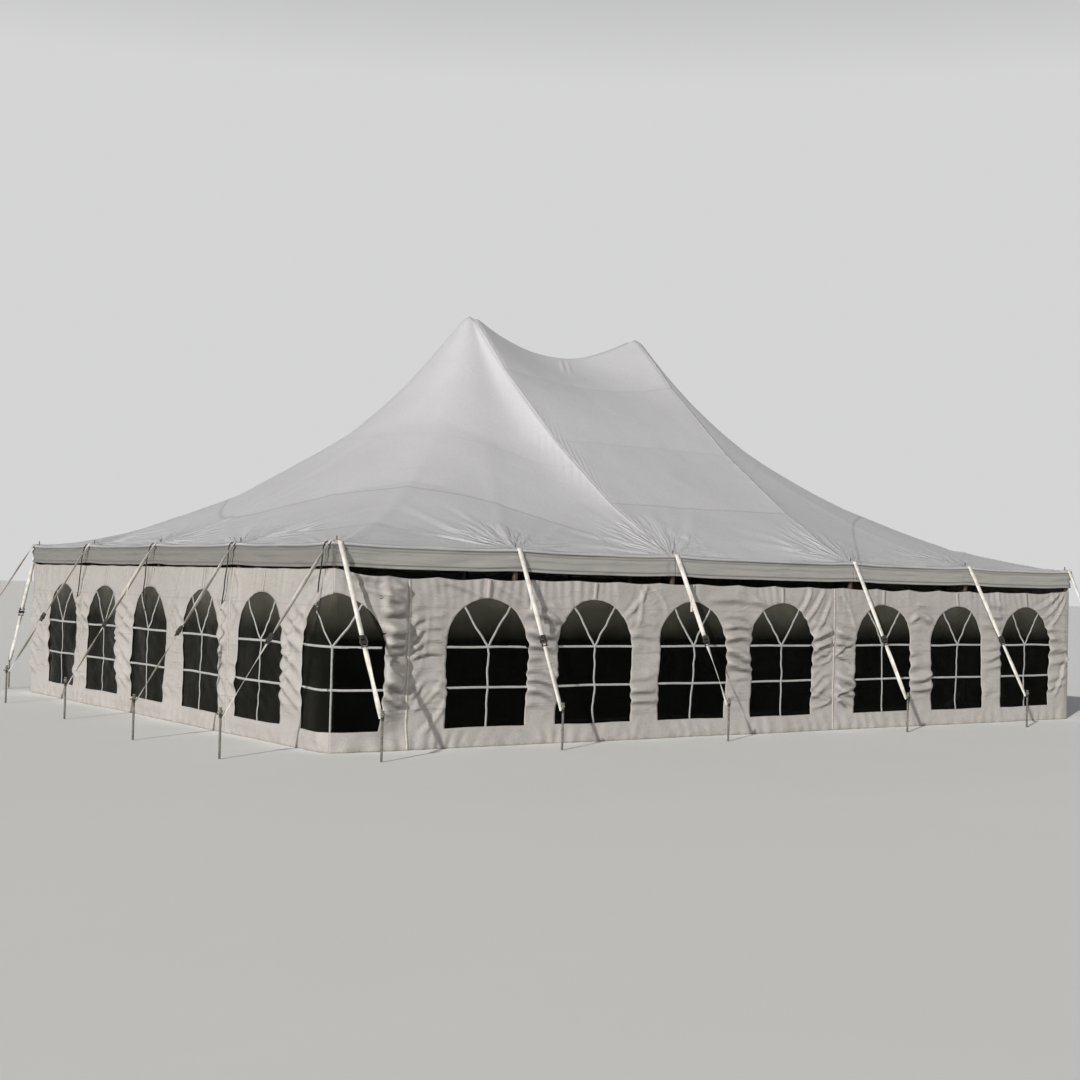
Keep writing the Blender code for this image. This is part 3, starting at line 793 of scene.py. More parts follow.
def tension_ridges(x, y, depth):
    """Low ridges where the cloth is drawn from each peak to the side poles around it."""
    total = np.zeros_like(x)
    for px, py, _ in side_pins():
        if abs(abs(px) - PEAK_X) < 0.01:
            continue
        peak = math.copysign(PEAK_X, px)
        way = np.array([peak - px, -py])
        length = np.hypot(*way)
        way = way / length
        along = ((x - px) * way[0] + (y - py) * way[1]) / length
        beside = (x - px) * way[1] - (y - py) * way[0]
        swell = smooth(along / 0.08) * smooth((0.85 - along) / 0.6)
        ridge = depth * swell * hump(beside, 0.05 + 0.14 * np.abs(along))
        total += np.where(np.sign(x) == np.sign(px), ridge, 0.0)
    return total


def panel_swell(place, welds, last):
    """The cloth stands up between one weld and the next: 0 at a weld, 1 half way to the next."""
    bounds = np.array((0.0, *welds, last))
    which = np.clip(np.searchsorted(bounds, place) - 1, 0, len(bounds) - 2)
    share = (place - bounds[which]) / (bounds[which + 1] - bounds[which])
    return 1.0 - (2.0 * np.clip(share, 0.0, 1.0) - 1.0) ** 2


# The creases at a pin: half the angle that they spread over, and how many there are.
CORNER_FAN = (0.72, 8)
SIDE_FAN = (1.42, 17)


def canopy_folds(x, y, looks):
    """How far the cloth stands off the smooth canopy, along its normal."""
    total = 0.012 * wander(x / 0.9, y / 0.9, 3) + 0.003 * wander(x / 0.23, y / 0.23, 4)
    for number, (px, py, toward) in enumerate(side_pins()):
        spread, count = CORNER_FAN if at_corner(px, py) else SIDE_FAN
        total += fan(x, y, (px, py), toward, spread, looks.crease_depth, 0.42, count, 40 + number)
    total += seam_puckers(x, y, looks.pucker_depth)
    total += tension_ridges(x, y, looks.ridge_height)
    # Two short creases hang from the middle of the ridge.
    beside = SADDLE_CREASE_LEAN * np.abs(y) - np.sign(y) * x
    both = hump(beside - 0.10, 0.03) + 0.7 * hump(beside - 0.22, 0.028)
    total += 0.02 * both * hump(np.abs(y) - 0.30, 0.15)
    corner_way = HALF_LENGTH + HALF_WIDTH - np.abs(x) - np.sqrt(y ** 2 + WELD_BOW ** 2)
    beyond_peak = smooth((np.abs(x) - PEAK_X) / 0.6)
    total += looks.panel_swell * beyond_peak * panel_swell(corner_way, END_WELDS, 9.5)
    total += looks.panel_swell * (1 - beyond_peak) * panel_swell(np.abs(y), MIDDLE_WELDS, HALF_WIDTH)
    # Webbing is sewn under the four seams that run down from the peaks.
    total += 0.004 * smooth((0.034 - np.abs(np.abs(x) - PEAK_X)) / 0.012)
    edge = np.minimum(HALF_LENGTH + OVERHANG - np.abs(x), HALF_WIDTH + OVERHANG - np.abs(y))
    peak = np.hypot(np.abs(x) - PEAK_X, y)
    return total * smooth(edge / 0.09) * smooth((peak - PEAK_FLAT) / 0.3)


def peak_tip(x, y):
    """Draws the cloth to a rounded point over each centre pole's head."""
    r = np.hypot(np.abs(x) - PEAK_X, y)
    return 0.022 * hump(r, 0.03) - 0.022 * hump(r - 0.085, 0.03)


def pin_creases(x, y):
    """Crease coordinates over the canopy: the angle about the nearest pin, the distance, the strength."""
    angle, strength, nearest = np.zeros_like(x), np.zeros_like(x), np.full_like(x, 99.0)
    for number, (px, py, toward) in enumerate(side_pins()):
        r = np.hypot(x - px, y - py)
        turn = (np.arctan2(y - py, x - px) - toward + math.pi) % (2 * math.pi) - math.pi
        closer = r < nearest
        nearest = np.where(closer, r, nearest)
        angle = np.where(closer, turn + 10.0 * number, angle)
        force = (r / 0.5) * np.exp(1.0 - r / 0.5) * smooth((1.08 - r) / 0.3)
        strength = np.where(closer, force * (0.7 if at_corner(px, py) else 1.0), strength)
    return np.stack([angle, nearest, strength], axis=-1)


def eave_lift(x, y, height):
    """The cloth's edge is drawn up a little at each side pole."""
    total = np.zeros_like(x)
    for px, py, _ in side_pins():
        total = np.maximum(total, height * hump(np.hypot(x - px, y - py), 0.33))
    return total


def canopy_points(x, y, looks):
    """The outer face of the canopy over plan points x, y."""
    step = 0.004
    z = canopy_height(x, y)
    slope_x = (canopy_height(x + step, y) - canopy_height(x - step, y)) / (2 * step)
    slope_y = (canopy_height(x, y + step) - canopy_height(x, y - step)) / (2 * step)
    steep = np.sqrt(1 + slope_x ** 2 + slope_y ** 2)
    off = canopy_folds(x, y, looks)
    return np.stack([x - off * slope_x / steep, y - off * slope_y / steep,
                     z + off / steep + eave_lift(x, y, looks.eave_lift) + peak_tip(x, y)], axis=-1)


# How far down the valance each row of its points lies, and where its hem begins.
VALANCE_HEM = 0.2225
VALANCE_ROWS = (0.006, 0.014, 0.024, 0.034, 0.044, 0.052, 0.06, 0.072, 0.09, 0.115, 0.14, 0.165, 0.19,
                0.208, 0.219, VALANCE_HEM, 0.226, 0.24, VALANCE_DROP)


def edge_route(index, corners):
    """The point numbers along an edge of a grid, from corner to corner, and the way out at each."""
    route, out = [], []
    for (i0, j0), (i1, j1) in zip(corners, corners[1:]):
        step_i, step_j = np.sign(i1 - i0), np.sign(j1 - j0)
        run_i = np.arange(i0, i1 + step_i, step_i) if i1 != i0 else np.array([i0])
        run_j = np.arange(j0, j1 + step_j, step_j) if j1 != j0 else np.array([j0])
        run = [int(index[i, j]) for i in run_i for j in run_j]
        side = np.array([step_j, -step_i], float)
        if route:
            out[-1] = out[-1] + side
            run = run[1:]
        route += run
        out += [side] * len(run)
    return route, np.array(out)


def valance_row(top, out, drop, looks):
    """A level row of the valance's points, so far down from its top: rolled folds, a hem and a sway."""
    x, y = top[:, 0], top[:, 1]
    fold = (0.016 * hump(drop - 0.026, 0.018) - 0.014 * hump(drop - 0.058, 0.013)
            + 0.010 * hump(drop - 0.1, 0.03) - 0.009 * hump(drop - 0.15, 0.02))
    hem = 0.004 if drop > VALANCE_HEM else 0.0
    sway = looks.valance_wave * smooth(drop / 0.2) * (
        wander(x / 0.55, y / 0.55 + drop, 61) + 0.45 * wander(x / 0.17, y / 0.17 + drop * 1.5, 62))
    drag = 0.009 * wander((x + y + drop * 2.5) / 0.38, drop / 0.05, 63) * smooth(drop / 0.03)
    push = fold * (0.7 + 0.5 * wander(x / 0.8, y / 0.8, 64)) + hem + np.maximum(sway + 0.004, -0.004) + drag
    return np.column_stack([x + out[:, 0] * push, y + out[:, 1] * push, top[:, 2] - drop])


def canopy_section(name, x_lines, y_lines, edge_paths, looks, material):
    """One laced section of the canopy with its valance.

    edge_paths are runs of grid corners, seen from outside from left to right, that carry a valance.
    """
    gx, gy = np.meshgrid(x_lines, y_lines, indexing="ij")
    points = canopy_points(gx, gy, looks).reshape(-1, 3)
    flat = np.stack([gx, gy], axis=-1).reshape(-1, 2)
    index = np.arange(gx.size).reshape(gx.shape)
    faces = grid_faces(index).tolist()
    all_points, all_flat, all_crease = [points], [flat], [pin_creases(gx, gy).reshape(-1, 3)]
    count = len(points)
    for corners in edge_paths:
        route, out = edge_route(index, corners)
        top = points[route]
        along = top[:, 0] * np.abs(out[:, 1]) + top[:, 1] * np.abs(out[:, 0])
        above = np.array(route)
        for drop in VALANCE_ROWS:
            below = np.arange(count, count + len(top))
            faces += np.stack([above[:-1], below[:-1], below[1:], above[1:]], axis=-1).tolist()
            all_points.append(valance_row(top, out, drop, looks))
            all_flat.append(flat[route] + out * drop)
            all_crease.append(np.column_stack([np.full_like(along, 90.0 + 3.0 * drop), 0.7 * along,
                                               np.full_like(along, 0.4 * smooth(drop / 0.03))]))
            above = below
            count += len(top)
    piece = new_piece(name, np.concatenate(all_points), faces, np.concatenate(all_flat), material,
                      np.concatenate(all_crease))
    thicken(piece, looks.thickness)
    return piece


# Each section laid flat, at its widest and longest: along the ridge, and from hem to hem over a peak.
END_CUT = (6.1, 12.04)
MIDDLE_CUT = (3.05, 12.04)


def make_canopy(looks):
    """The canopy's three sections, laced together on the seams that run down from the peaks."""
    # Below the eave the valance is made darker, and more so at the two ends: painted shade.
    settings = {
        "clouds": 0.4, "weld_colour": linear("#636261"), "hem_dirt": 0.0, "crumple": 0.15,
        "crumple_scale": 5.0,
        "darkened": (EAVE_HEIGHT - 0.05, EAVE_HEIGHT + 0.01, 0.85, 0.0),
        "darkened_colour": linear("#98968F"),
        "end_darkened": 0.8, "crease_scale": (4.4, 1.5), "crease_depth": 0.10, "hollow_painted_shade": 0.0}
    cloth, worn = tuple(looks.cloth), linear("#B4B3B5")
    middle_cloth = cloth_material("PVC-coated polyester canopy, middle", cloth, worn, middle_welds, settings)
    end_cloth = cloth_material("PVC-coated polyester canopy, ends", cloth, worn, end_welds, settings)
    fine, coarse = looks.fine_cell, looks.coarse_cell
    edge_x, edge_y = HALF_LENGTH + OVERHANG, HALF_WIDTH + OVERHANG
    y_marks = (-edge_y, -END_POLE_Y, 0.0, END_POLE_Y, edge_y)
    y_lines = graded(-edge_y, edge_y, y_marks, fine, coarse, 1.1)
    end_marks = (-edge_x, -MID_POLE_X, -PEAK_X)
    left_x = graded(-edge_x, -PEAK_X, end_marks, fine, coarse, 0.8)
    middle_x = graded(-PEAK_X, PEAK_X, (-PEAK_X, 0.0, PEAK_X), fine * 0.8, coarse, 0.6)
    # The right end is far from the viewpoint, so it has fewer columns.
    right_x = -graded(-edge_x, -PEAK_X, end_marks, fine * 1.3, coarse * 1.3, 0.8)[::-1]
    back = len(y_lines) - 1
    left_seam, middle_end, right_end = len(left_x) - 1, len(middle_x) - 1, len(right_x) - 1
    sections = (
        ("left_end_roof", left_x, end_cloth, END_CUT,
         [[(left_seam, back), (0, back), (0, 0), (left_seam, 0)]]),
        ("middle_roof", middle_x, middle_cloth, MIDDLE_CUT,
         [[(0, 0), (middle_end, 0)], [(middle_end, back), (0, back)]]),
        ("right_end_roof", right_x, end_cloth, END_CUT,
         [[(0, 0), (right_end, 0), (right_end, back), (0, back)]]),
    )
    for name, x_lines, finish, cut, paths in sections:
        piece = canopy_section(name + "_cloth", x_lines, y_lines, paths, looks, finish)
        settle(piece, "canopy_cloth", name)


# The walls

# An end wall fits between the long ones, so it is a little shorter than the tent is wide.
LONG_SIDE = {"long": True, "half": HALF_LENGTH, "face": HALF_WIDTH, "top": LONG_WALL_TOP,
             "windows": LONG_WINDOWS, "seams": (-5.21, 1.174)}
END_SIDE = {"long": False, "half": 4.5637, "face": HALF_LENGTH, "top": END_WALL_TOP,
            "windows": END_WINDOWS, "seams": (2.25, -2.4)}
# Each side by its turn about the tent's middle, the seed of its random folds and the height it is hung to.
SIDES = {
    "front": {**LONG_SIDE, "turn": 0.0, "seed": 100, "hung_to": LONG_WALL_TOP},
    "right": {**END_SIDE, "turn": math.pi / 2, "seed": 300, "hung_to": HIDDEN_WALL_TOP},
    "back": {**LONG_SIDE, "turn": math.pi, "seed": 200, "hung_to": HIDDEN_WALL_TOP},
    "left": {**END_SIDE, "turn": -math.pi / 2, "seed": 400, "hung_to": END_WALL_TOP + 0.015},
}
CLIP_SPACING = 0.62
CORNER_HELD_TO = 1.885

# Drag lines seen on the walls: start (along, height), end (along, height), depth and half width.
LONG_DRAGS = (
    (-5.9, 1.84, -5.25, 1.70, 0.035, 0.05), (-5.85, 1.72, -5.3, 1.54, 0.030, 0.04),
    (1.16, 0.95, 0.72, 1.08, 0.020, 0.020), (1.16, 0.95, 0.75, 0.84, 0.022, 0.022),
    (1.19, 0.95, 1.55, 1.12, 0.020, 0.020),
    (1.19, 0.95, 1.52, 0.86, 0.022, 0.020), (1.16, 0.42, 0.72, 0.50, 0.022, 0.022),
    (1.16, 0.42, 0.78, 0.30, 0.020, 0.020),
    (1.19, 0.42, 1.58, 0.54, 0.022, 0.020), (1.19, 0.42, 1.50, 0.28, 0.020, 0.020),
    (-5.2, 0.95, -4.8, 1.02, 0.02, 0.02), (-4.72, 0.50, -5.05, 0.16, 0.014, 0.03),
    (-4.78, 0.72, -5.12, 0.42, 0.012, 0.025),
    (-4.95, 1.45, -5.05, 0.85, 0.006, 0.025), (-4.75, 1.80, -4.25, 1.62, 0.016, 0.03),
    (-4.1, 1.80, -3.55, 1.42, 0.014, 0.04),
    (-3.55, 1.45, -3.1, 1.33, 0.014, 0.03), (-3.6, 1.2, -3.2, 1.14, 0.012, 0.03),
    (-3.45, 0.9, -3.2, 0.72, 0.012, 0.03),
    (-1.95, 1.80, -2.3, 1.40, 0.018, 0.03), (-1.9, 1.80, -1.65, 1.45, 0.012, 0.03),
    (-2.05, 1.80, -2.1, 1.30, 0.014, 0.03),
    (-0.95, 1.66, 0.1, 1.60, 0.022, 0.045), (-0.7, 1.45, -0.25, 1.40, 0.014, 0.03),
    (-0.5, 1.78, -0.1, 1.62, 0.012, 0.04),
    (0.75, 1.80, 0.55, 1.50, 0.018, 0.03), (1.0, 1.80, 0.62, 1.36, 0.020, 0.03),
    (1.15, 1.70, 0.72, 1.15, 0.018, 0.028),
    (1.3, 1.75, 1.55, 1.30, 0.012, 0.03), (1.22, 1.0, 1.5, 0.78, 0.010, 0.025),
    (2.75, 1.62, 3.1, 1.58, 0.012, 0.04),
    (4.15, 1.64, 4.62, 1.60, 0.014, 0.04), (5.9, 1.84, 5.25, 1.58, 0.020, 0.03),
    (5.98, 1.80, 5.42, 1.45, 0.020, 0.025),
    (6.03, 1.74, 5.52, 1.28, 0.018, 0.025), (6.0, 0.95, 5.75, 0.35, 0.018, 0.03),
)
END_DRAGS = (
    (4.5, 1.86, 3.95, 1.25, 0.020, 0.035), (4.45, 1.80, 4.1, 1.0, 0.016, 0.03),
    (4.3, 1.86, 3.6, 1.62, 0.016, 0.03),
    (3.95, 1.4, 3.6, 0.9, 0.020, 0.04), (3.85, 1.0, 3.55, 0.5, 0.018, 0.035),
    (2.3, 1.86, 2.5, 1.4, 0.016, 0.03),
    (2.2, 1.86, 1.9, 1.45, 0.020, 0.04), (2.45, 1.45, 2.05, 0.95, 0.018, 0.035),
    (0.85, 1.82, 0.55, 1.3, 0.018, 0.035),
    (0.65, 1.2, 0.8, 0.8, 0.014, 0.03), (0.3, 1.86, 0.1, 1.64, 0.014, 0.03),
    (-0.75, 1.86, -1.0, 1.3, 0.018, 0.035),
    (-0.7, 1.3, -1.05, 0.85, 0.018, 0.035), (-0.9, 0.9, -0.7, 0.4, 0.014, 0.03),
    (-2.3, 1.86, -2.6, 1.2, 0.022, 0.035),
    (-2.25, 1.3, -2.6, 0.7, 0.022, 0.035), (-2.5, 0.75, -2.3, 0.25, 0.016, 0.03),
    (-3.9, 1.86, -3.75, 1.2, 0.020, 0.035),
    (-4.2, 1.86, -3.95, 1.1, 0.020, 0.03), (-4.4, 1.8, -4.2, 0.9, 0.016, 0.03),
    (-3.85, 1.0, -3.75, 0.4, 0.016, 0.03),
)


def drag_line(u, z, line):
    """A sharp-crested fold from one point to another, with a shallow trough beside it."""
    u0, z0, u1, z1, depth, width = line
    length = math.hypot(u1 - u0, z1 - z0)
    way = ((u1 - u0) / length, (z1 - z0) / length)
    along = ((u - u0) * way[0] + (z - z0) * way[1]) / length
    beside = (u - u0) * way[1] - (z - z0) * way[0] + 0.03 * np.sin(along * 3.0)
    swell = smooth((along + 0.12) / 0.3) * smooth((1.15 - along) / 0.4)
    return 1.3 * depth * swell * (hump(beside, width) - 0.6 * hump(beside - 1.8 * width, width * 1.2))


def wall_offsets(side, u, z, looks):
    """How far the wall's cloth stands out from its plane, and slides along and up it."""
    seed, half, top = side["seed"], side["half"], side["top"]
    nearest = np.min(np.abs(u[..., None] - np.array(side["windows"])), axis=-1)
    between = smooth((nearest - WINDOW_RADIUS + 0.06) / 0.15)
    from_seam = np.min(np.abs(u[..., None] - np.array(side["seams"])), axis=-1)
    loose = smooth((from_seam - 0.02) / 0.09)
    ends = smooth((half - np.abs(u)) / 0.14)
    down = top - z

    out = 0.012 + looks.billow * (0.5 + 0.5 * wander(u / 1.1, z / 0.9, seed)) * smooth(down / 0.3)
    # Level folds between the windows, where the cloth hangs slack from side to side.
    # On the ends the folds are broad and run down aslant.
    slope, spacing, stray = (0.0, 0.15, 0.10) if side["long"] else (0.7, 0.21, 0.05)
    phase = (z + slope * u + stray * wander(u / 0.6, 0.5, seed + 1)
             + 0.9 * stray * wander(u / 0.35, z / 0.3, seed + 2)) / spacing
    crest = (0.5 + 0.5 * np.sin(2 * math.pi * phase)) ** 1.3
    strength = smooth(0.62 + 0.85 * wander(u / 0.5, z / 0.3, seed + 3))
    level = smooth((z - 0.28) / 0.2) * smooth((1.62 - z) / 0.25)
    more = 1.0 if side["long"] else 0.9
    calm = 1.0 - 0.8 * hump(u + 4.93, 0.2) if side["long"] else 1.0
    out += more * calm * looks.fold_depth * crest * strength * level * (0.12 + 0.88 * between) * loose
    fine = np.sin(2 * math.pi * (z / 0.058 + 0.8 * wander(u / 0.3, z / 0.2, seed + 4)))
    fine *= between * level * (0.5 + 0.5 * wander(u / 0.5, z / 0.4, seed + 5))
    out += (0.004 if side["long"] else 0.002) * fine
    # The cloth of the ends hangs in broad upright waves.
    if not side["long"]:
        wave = 0.5 + 0.5 * wander(u / 0.42 + 0.25 * z, z / 1.4, seed + 17)
        out += 0.045 * wave * smooth(down / 0.5) * smooth(z / 0.2)
    # Gathers that hang from the clips along the top.
    clip = np.abs((u + half) / CLIP_SPACING % 1.0 - 0.5) * 2.0
    hang = np.sin(2 * math.pi * (u / 0.12 + 0.5 * wander(u / 0.4, z / 0.5, seed + 6)))
    hang *= (0.35 + 0.65 * clip ** 2) * (0.4 + 0.6 * wander(u / 0.7, 0.0, seed + 7))
    out += looks.gather_depth * hang * hump(down, 0.28)
    out += 0.012 * clip ** 3 * hump(down, 0.22)
    # The foot stands out and ripples where it meets the ground.
    foot = smooth((0.30 - z) / 0.3)
    out += foot * (looks.foot_spread * (0.6 + 0.4 * wander(u / 0.9, 0.0, seed + 8))
                   + 0.011 * np.sin(2 * math.pi * (u / 0.19 + 0.7 * wander(u / 0.5, z / 0.4, seed + 9)))
                   * (0.5 + 0.5 * wander(u / 0.6, 0.0, seed + 10)))
    for line in LONG_DRAGS if side["long"] else END_DRAGS:
        out += more * drag_line(u, z, line) * (0.25 + 0.75 * loose)
    # The narrow width of cloth between a corner window and the first seam hangs in deep level swags.
    if side["long"]:
        share = (1.40 - z + 0.1 * (u + 5.4)) / 0.40 % 1.0
        swag = smooth(share / 0.25) * (1.0 - share) ** 0.7
        inside = smooth((-5.21 - u) / 0.06) * smooth((u + 5.60) / 0.09)
        out += 0.10 * swag * inside * smooth((z - 0.55) / 0.1) * smooth((1.80 - z) / 0.1)
        belly = smooth((u + 6.0) / 0.4) * smooth((-5.19 - u) / 0.40)
        out += 0.09 * belly * smooth((1.85 - z) / 0.3) * smooth((z - 0.1) / 0.3)
    out += 0.006 * wander(u / 0.16, z / 0.13, seed + 16) + 0.002 * wander(u / 0.055, z / 0.055, seed + 11)
    out = np.maximum(out, 0.0) * ends

    slide = 0.020 * wander(u / 0.5, z / 0.33, seed + 12) + 0.008 * wander(u / 0.17, z / 0.12, seed + 13)
    slide *= ends * loose * smooth(down / 0.2)
    # The top edge hangs in shallow scallops between its clips, and is drawn up to the corner poles.
    scallop = looks.scallop * (1.0 if side["long"] else 0.2) * (1.0 - clip ** 1.5)
    scallop *= 0.6 + 0.4 * wander(u / 0.6, 0.3, seed + 14)
    corner = max(CORNER_HELD_TO - top, 0.0) * hump(half - np.abs(u), 0.34)
    raised = side["hung_to"] - top
    lift = (np.maximum(corner, raised) - scallop) * smooth((z - 1.45) / (top - 1.45))
    out = out * (1.0 - smooth((z + lift - 1.8) / 0.08) * (raised > 0.02)) + 0.004 * (raised > 0.02)
    lift = lift + ends * 0.008 * wander(u / 0.4, z / 0.4, seed + 15) * smooth(z / 0.15) * smooth(down / 0.15)
    return out, slide, lift


def wall_hollows(side, u, z, looks):
    """How deep each point lies in its fold, and how far it faces down: 0 on the crests, up to 1."""
    step = 0.03
    half, top = side["half"], side["top"]
    here, above, below, before, beyond = (
        wall_offsets(side, np.clip(u + du, -half, half), np.clip(z + dz, 0.0, top), looks)[0]
        for du, dz in ((0.0, 0.0), (0.0, step), (0.0, -step), (-step, 0.0), (step, 0.0)))
    faces_down = (above - below) / (2 * step)
    deep = (above + below + before + beyond) / 4 - here
    inside = smooth((side["half"] - np.abs(u)) / 0.15) * smooth(z / 0.1) * smooth((side["top"] - z) / 0.08)
    # Cloth that faces down, and cloth deep in a hollow, gets painted shade.
    return np.clip(0.55 * faces_down + 45.0 * deep, 0.0, 1.0) * inside


def wall_creases(side, u, z):
    """Crease coordinates over a wall: level, and strong where the cloth between windows is slack."""
    nearest = np.min(np.abs(u[..., None] - np.array(side["windows"])), axis=-1)
    between = smooth((nearest - WINDOW_RADIUS + 0.03) / 0.12)
    above = smooth((z - WINDOW_SPRING - WINDOW_RADIUS + 0.1) / 0.1)
    level = smooth((z - 0.24) / 0.15) * smooth((side["top"] - z) / 0.1)
    strength = level * np.maximum(0.6 * between, 0.35 * above) + 0.25 * smooth((0.22 - z) / 0.1)
    bent = z + 0.12 * wander(u / 0.7, z / 0.5, side["seed"] + 21)
    return np.stack([u + 0.4 * z + side["seed"], bent, strength], axis=-1)


def on_side(side, u, out, z):
    """Points at u along a side, out from its face and z high, in the tent's frame."""
    u, out, z = np.broadcast_arrays(u, out, z)
    cos, sin = math.cos(side["turn"]), math.sin(side["turn"])
    local_y = -(side["face"] + out)
    return np.stack([u * cos - local_y * sin, u * sin + local_y * cos, z], axis=-1)


def outward(side):
    """The level way out from a side."""
    return Vector((math.sin(side["turn"]), -math.cos(side["turn"]), 0.0))


def arched_grid(u_lines, z_lines, centers):
    """Points and faces of a flat wall with its arched windows cut out along their outlines."""
    gu, gz = np.meshgrid(u_lines, z_lines, indexing="ij")
    u, z = gu.ravel(), gz.ravel()
    centers = np.array(centers)
    center = centers[np.argmin(np.abs(u[:, None] - centers), axis=1)]
    cell = max(np.max(np.diff(u_lines)), np.max(np.diff(z_lines)))

    def outside(u, z):
        arch = np.hypot(u - center, np.maximum(z - WINDOW_SPRING, 0.0)) - WINDOW_RADIUS
        return np.maximum(arch, WINDOW_SILL - z)

    near = (np.abs(outside(u, z)) < cell * 0.52) & (z > WINDOW_SPRING)
    length = np.hypot(u - center, z - WINDOW_SPRING)
    scale = np.where(near, WINDOW_RADIUS / np.maximum(length, 1e-6), 1.0)
    u = center + (u - center) * scale
    z = np.where(near, WINDOW_SPRING + (z - WINDOW_SPRING) * scale, z)
    distance = outside(u, z)
    state = np.where(distance > 1e-5, 1, np.where(distance < -1e-5, -1, 0))
    index = np.arange(len(u)).reshape(gu.shape)
    quads = grid_faces(index)
    states = state[quads]
    middle = (u[quads].mean(axis=1), z[quads].mean(axis=1))
    center = center[quads[:, 0]]
    clear = outside(*middle) > 0
    whole = (states.min(axis=1) >= 0) & ((states.max(axis=1) > 0) | clear)
    faces = quads[whole].tolist()
    for corners, marks in zip(quads, states):
        if marks.min() < 0 < marks.max():
            outer = [int(corner) for corner, mark in zip(corners, marks) if mark >= 0]
            if len(outer) == 3:
                faces.append(outer)
    used = np.unique(np.concatenate([np.array(face) for face in faces]))
    renumber = np.full(len(u), -1)
    renumber[used] = np.arange(len(used))
    return u[used], z[used], [[int(renumber[i]) for i in face] for face in faces]


def wall_lines(side, step):
    """The columns and rows of a wall's mesh, which hold the windows' edges and middles."""
    half, windows = side["half"], side["windows"]
    sides = [c + s * WINDOW_RADIUS for c in windows for s in (-1, 0, 1)]
    u_lines = stepped([-half, half] + [u for u in sides if abs(u) < half - 0.005], step)
    z_lines = stepped([0.0, WINDOW_SILL, WINDOW_SPRING, WINDOW_SPRING + WINDOW_RADIUS, side["top"]], step)
    return u_lines, z_lines


def make_walls(looks):
    """The four walls, the tape up each panel's edge and the tape over the head of each window."""
    # The walls are darker towards the top, and their folds get painted shade in the hollows and on the
    # undersides.
    settings = {
        "clouds": 0.6, "weld_colour": linear("#9C9791"), "hem_dirt": 0.4, "crumple": 0.45,
        "crumple_scale": 8.0,
        "darkened": (0.35, 1.9, 0.0, 0.35), "darkened_colour": linear("#A19D97"), "end_darkened": 0.0,
        "crease_scale": (1.5, 9.0), "crease_depth": 0.07, "hollow_painted_shade": 0.85}
    cloth = cloth_material("PVC-coated polyester wall", tuple(looks.cloth), linear("#9F9B96"), wall_welds,
                           settings)
    # The tape along each width's edge is newer than the cloth: a thin cream line down the wall.
    edge_tape = speckled_material("cream PVC hem tape", tones("#B3ADA1", "#CDC7BA"), 26.0, (0.5, 0.7))
    for name, side in SIDES.items():
        top = side["top"]
        step = looks.cell if name in ("front", "left") else looks.hidden_cell
        u, z, faces = arched_grid(*wall_lines(side, step), side["windows"])
        out, slide, lift = wall_offsets(side, u, z, looks)
        points = on_side(side, u + slide, out, np.maximum(z + lift, 0.0))
        piece = new_piece(name + "_wall_cloth", points, faces, np.stack([u, z], axis=-1), cloth,
                          wall_creases(side, u, z), wall_hollows(side, u, z, looks))
        thicken(piece, looks.thickness)
        settle(piece, "wall_cloth", name + "_wall")
        hems = [wall_run(side, (seam, 0.01), (seam + 0.015, top - 0.01), 0.0025, looks)
                for seam in side["seams"]]
        head = WINDOW_SPRING + WINDOW_RADIUS + 0.012
        heads = [wall_run(side, (center, head), (center + 0.01, top - 0.012), 0.0022, looks)
                 for center in side["windows"] if abs(center) < side["half"] - 0.1]
        for part, runs, width, finish in (("panel_hems", hems, 0.028, edge_tape),
                                          ("head_tapes", heads, 0.06, cloth)):
            settle(tape_piece(f"{name}_{part}", runs, width, TAPE_THICKNESS, finish), "wall_cloth")


def surface_point(side, u, z, beyond, looks):
    """A point on a wall's moved surface, standing beyond it by so much."""
    u, z = np.atleast_1d(np.asarray(u, float)), np.atleast_1d(np.asarray(z, float))
    out, slide, lift = wall_offsets(side, u, z, looks)
    return on_side(side, u + slide, out + beyond, np.maximum(z + lift, 0.0))


def wall_run(side, start, end, beyond, looks, step=0.025):
    """A run for the tape tree that lies on a wall from one point of it to another, clear of its corners."""
    (u0, z0), (u1, z1) = start, end
    t = np.linspace(0.0, 1.0, max(int(math.hypot(u1 - u0, z1 - z0) / step), 3))
    u, z = u0 + (u1 - u0) * t, z0 + (z1 - z0) * t
    keep = np.abs(u) <= side["half"] - CORNER_GAP
    return [(spot, outward(side), 1.0) for spot in surface_point(side, u[keep], z[keep], beyond, looks)]


def window_bars(center, limit):
    """The straight tapes of one window, each from (along, height) to (along, height)."""
    radius = WINDOW_RADIUS + 0.012
    reach, head = radius * math.sin(ARCH_BAR_LEAN), WINDOW_SPRING + radius * math.cos(ARCH_BAR_LEAN)
    bars = [((center - radius, height), (center + radius, height)) for height in WINDOW_BARS]
    if abs(center) < limit:
        upright, arms = center, (-reach, reach)
    else:
        # A window that wraps a corner has half of its bars on each side.
        upright, arms = math.copysign(limit - 0.004, center), (-math.copysign(reach, center),)
    bars.append(((upright, WINDOW_SILL - 0.012), (upright, WINDOW_SPRING)))
    return bars + [((upright, WINDOW_SPRING), (upright + arm, head)) for arm in arms]


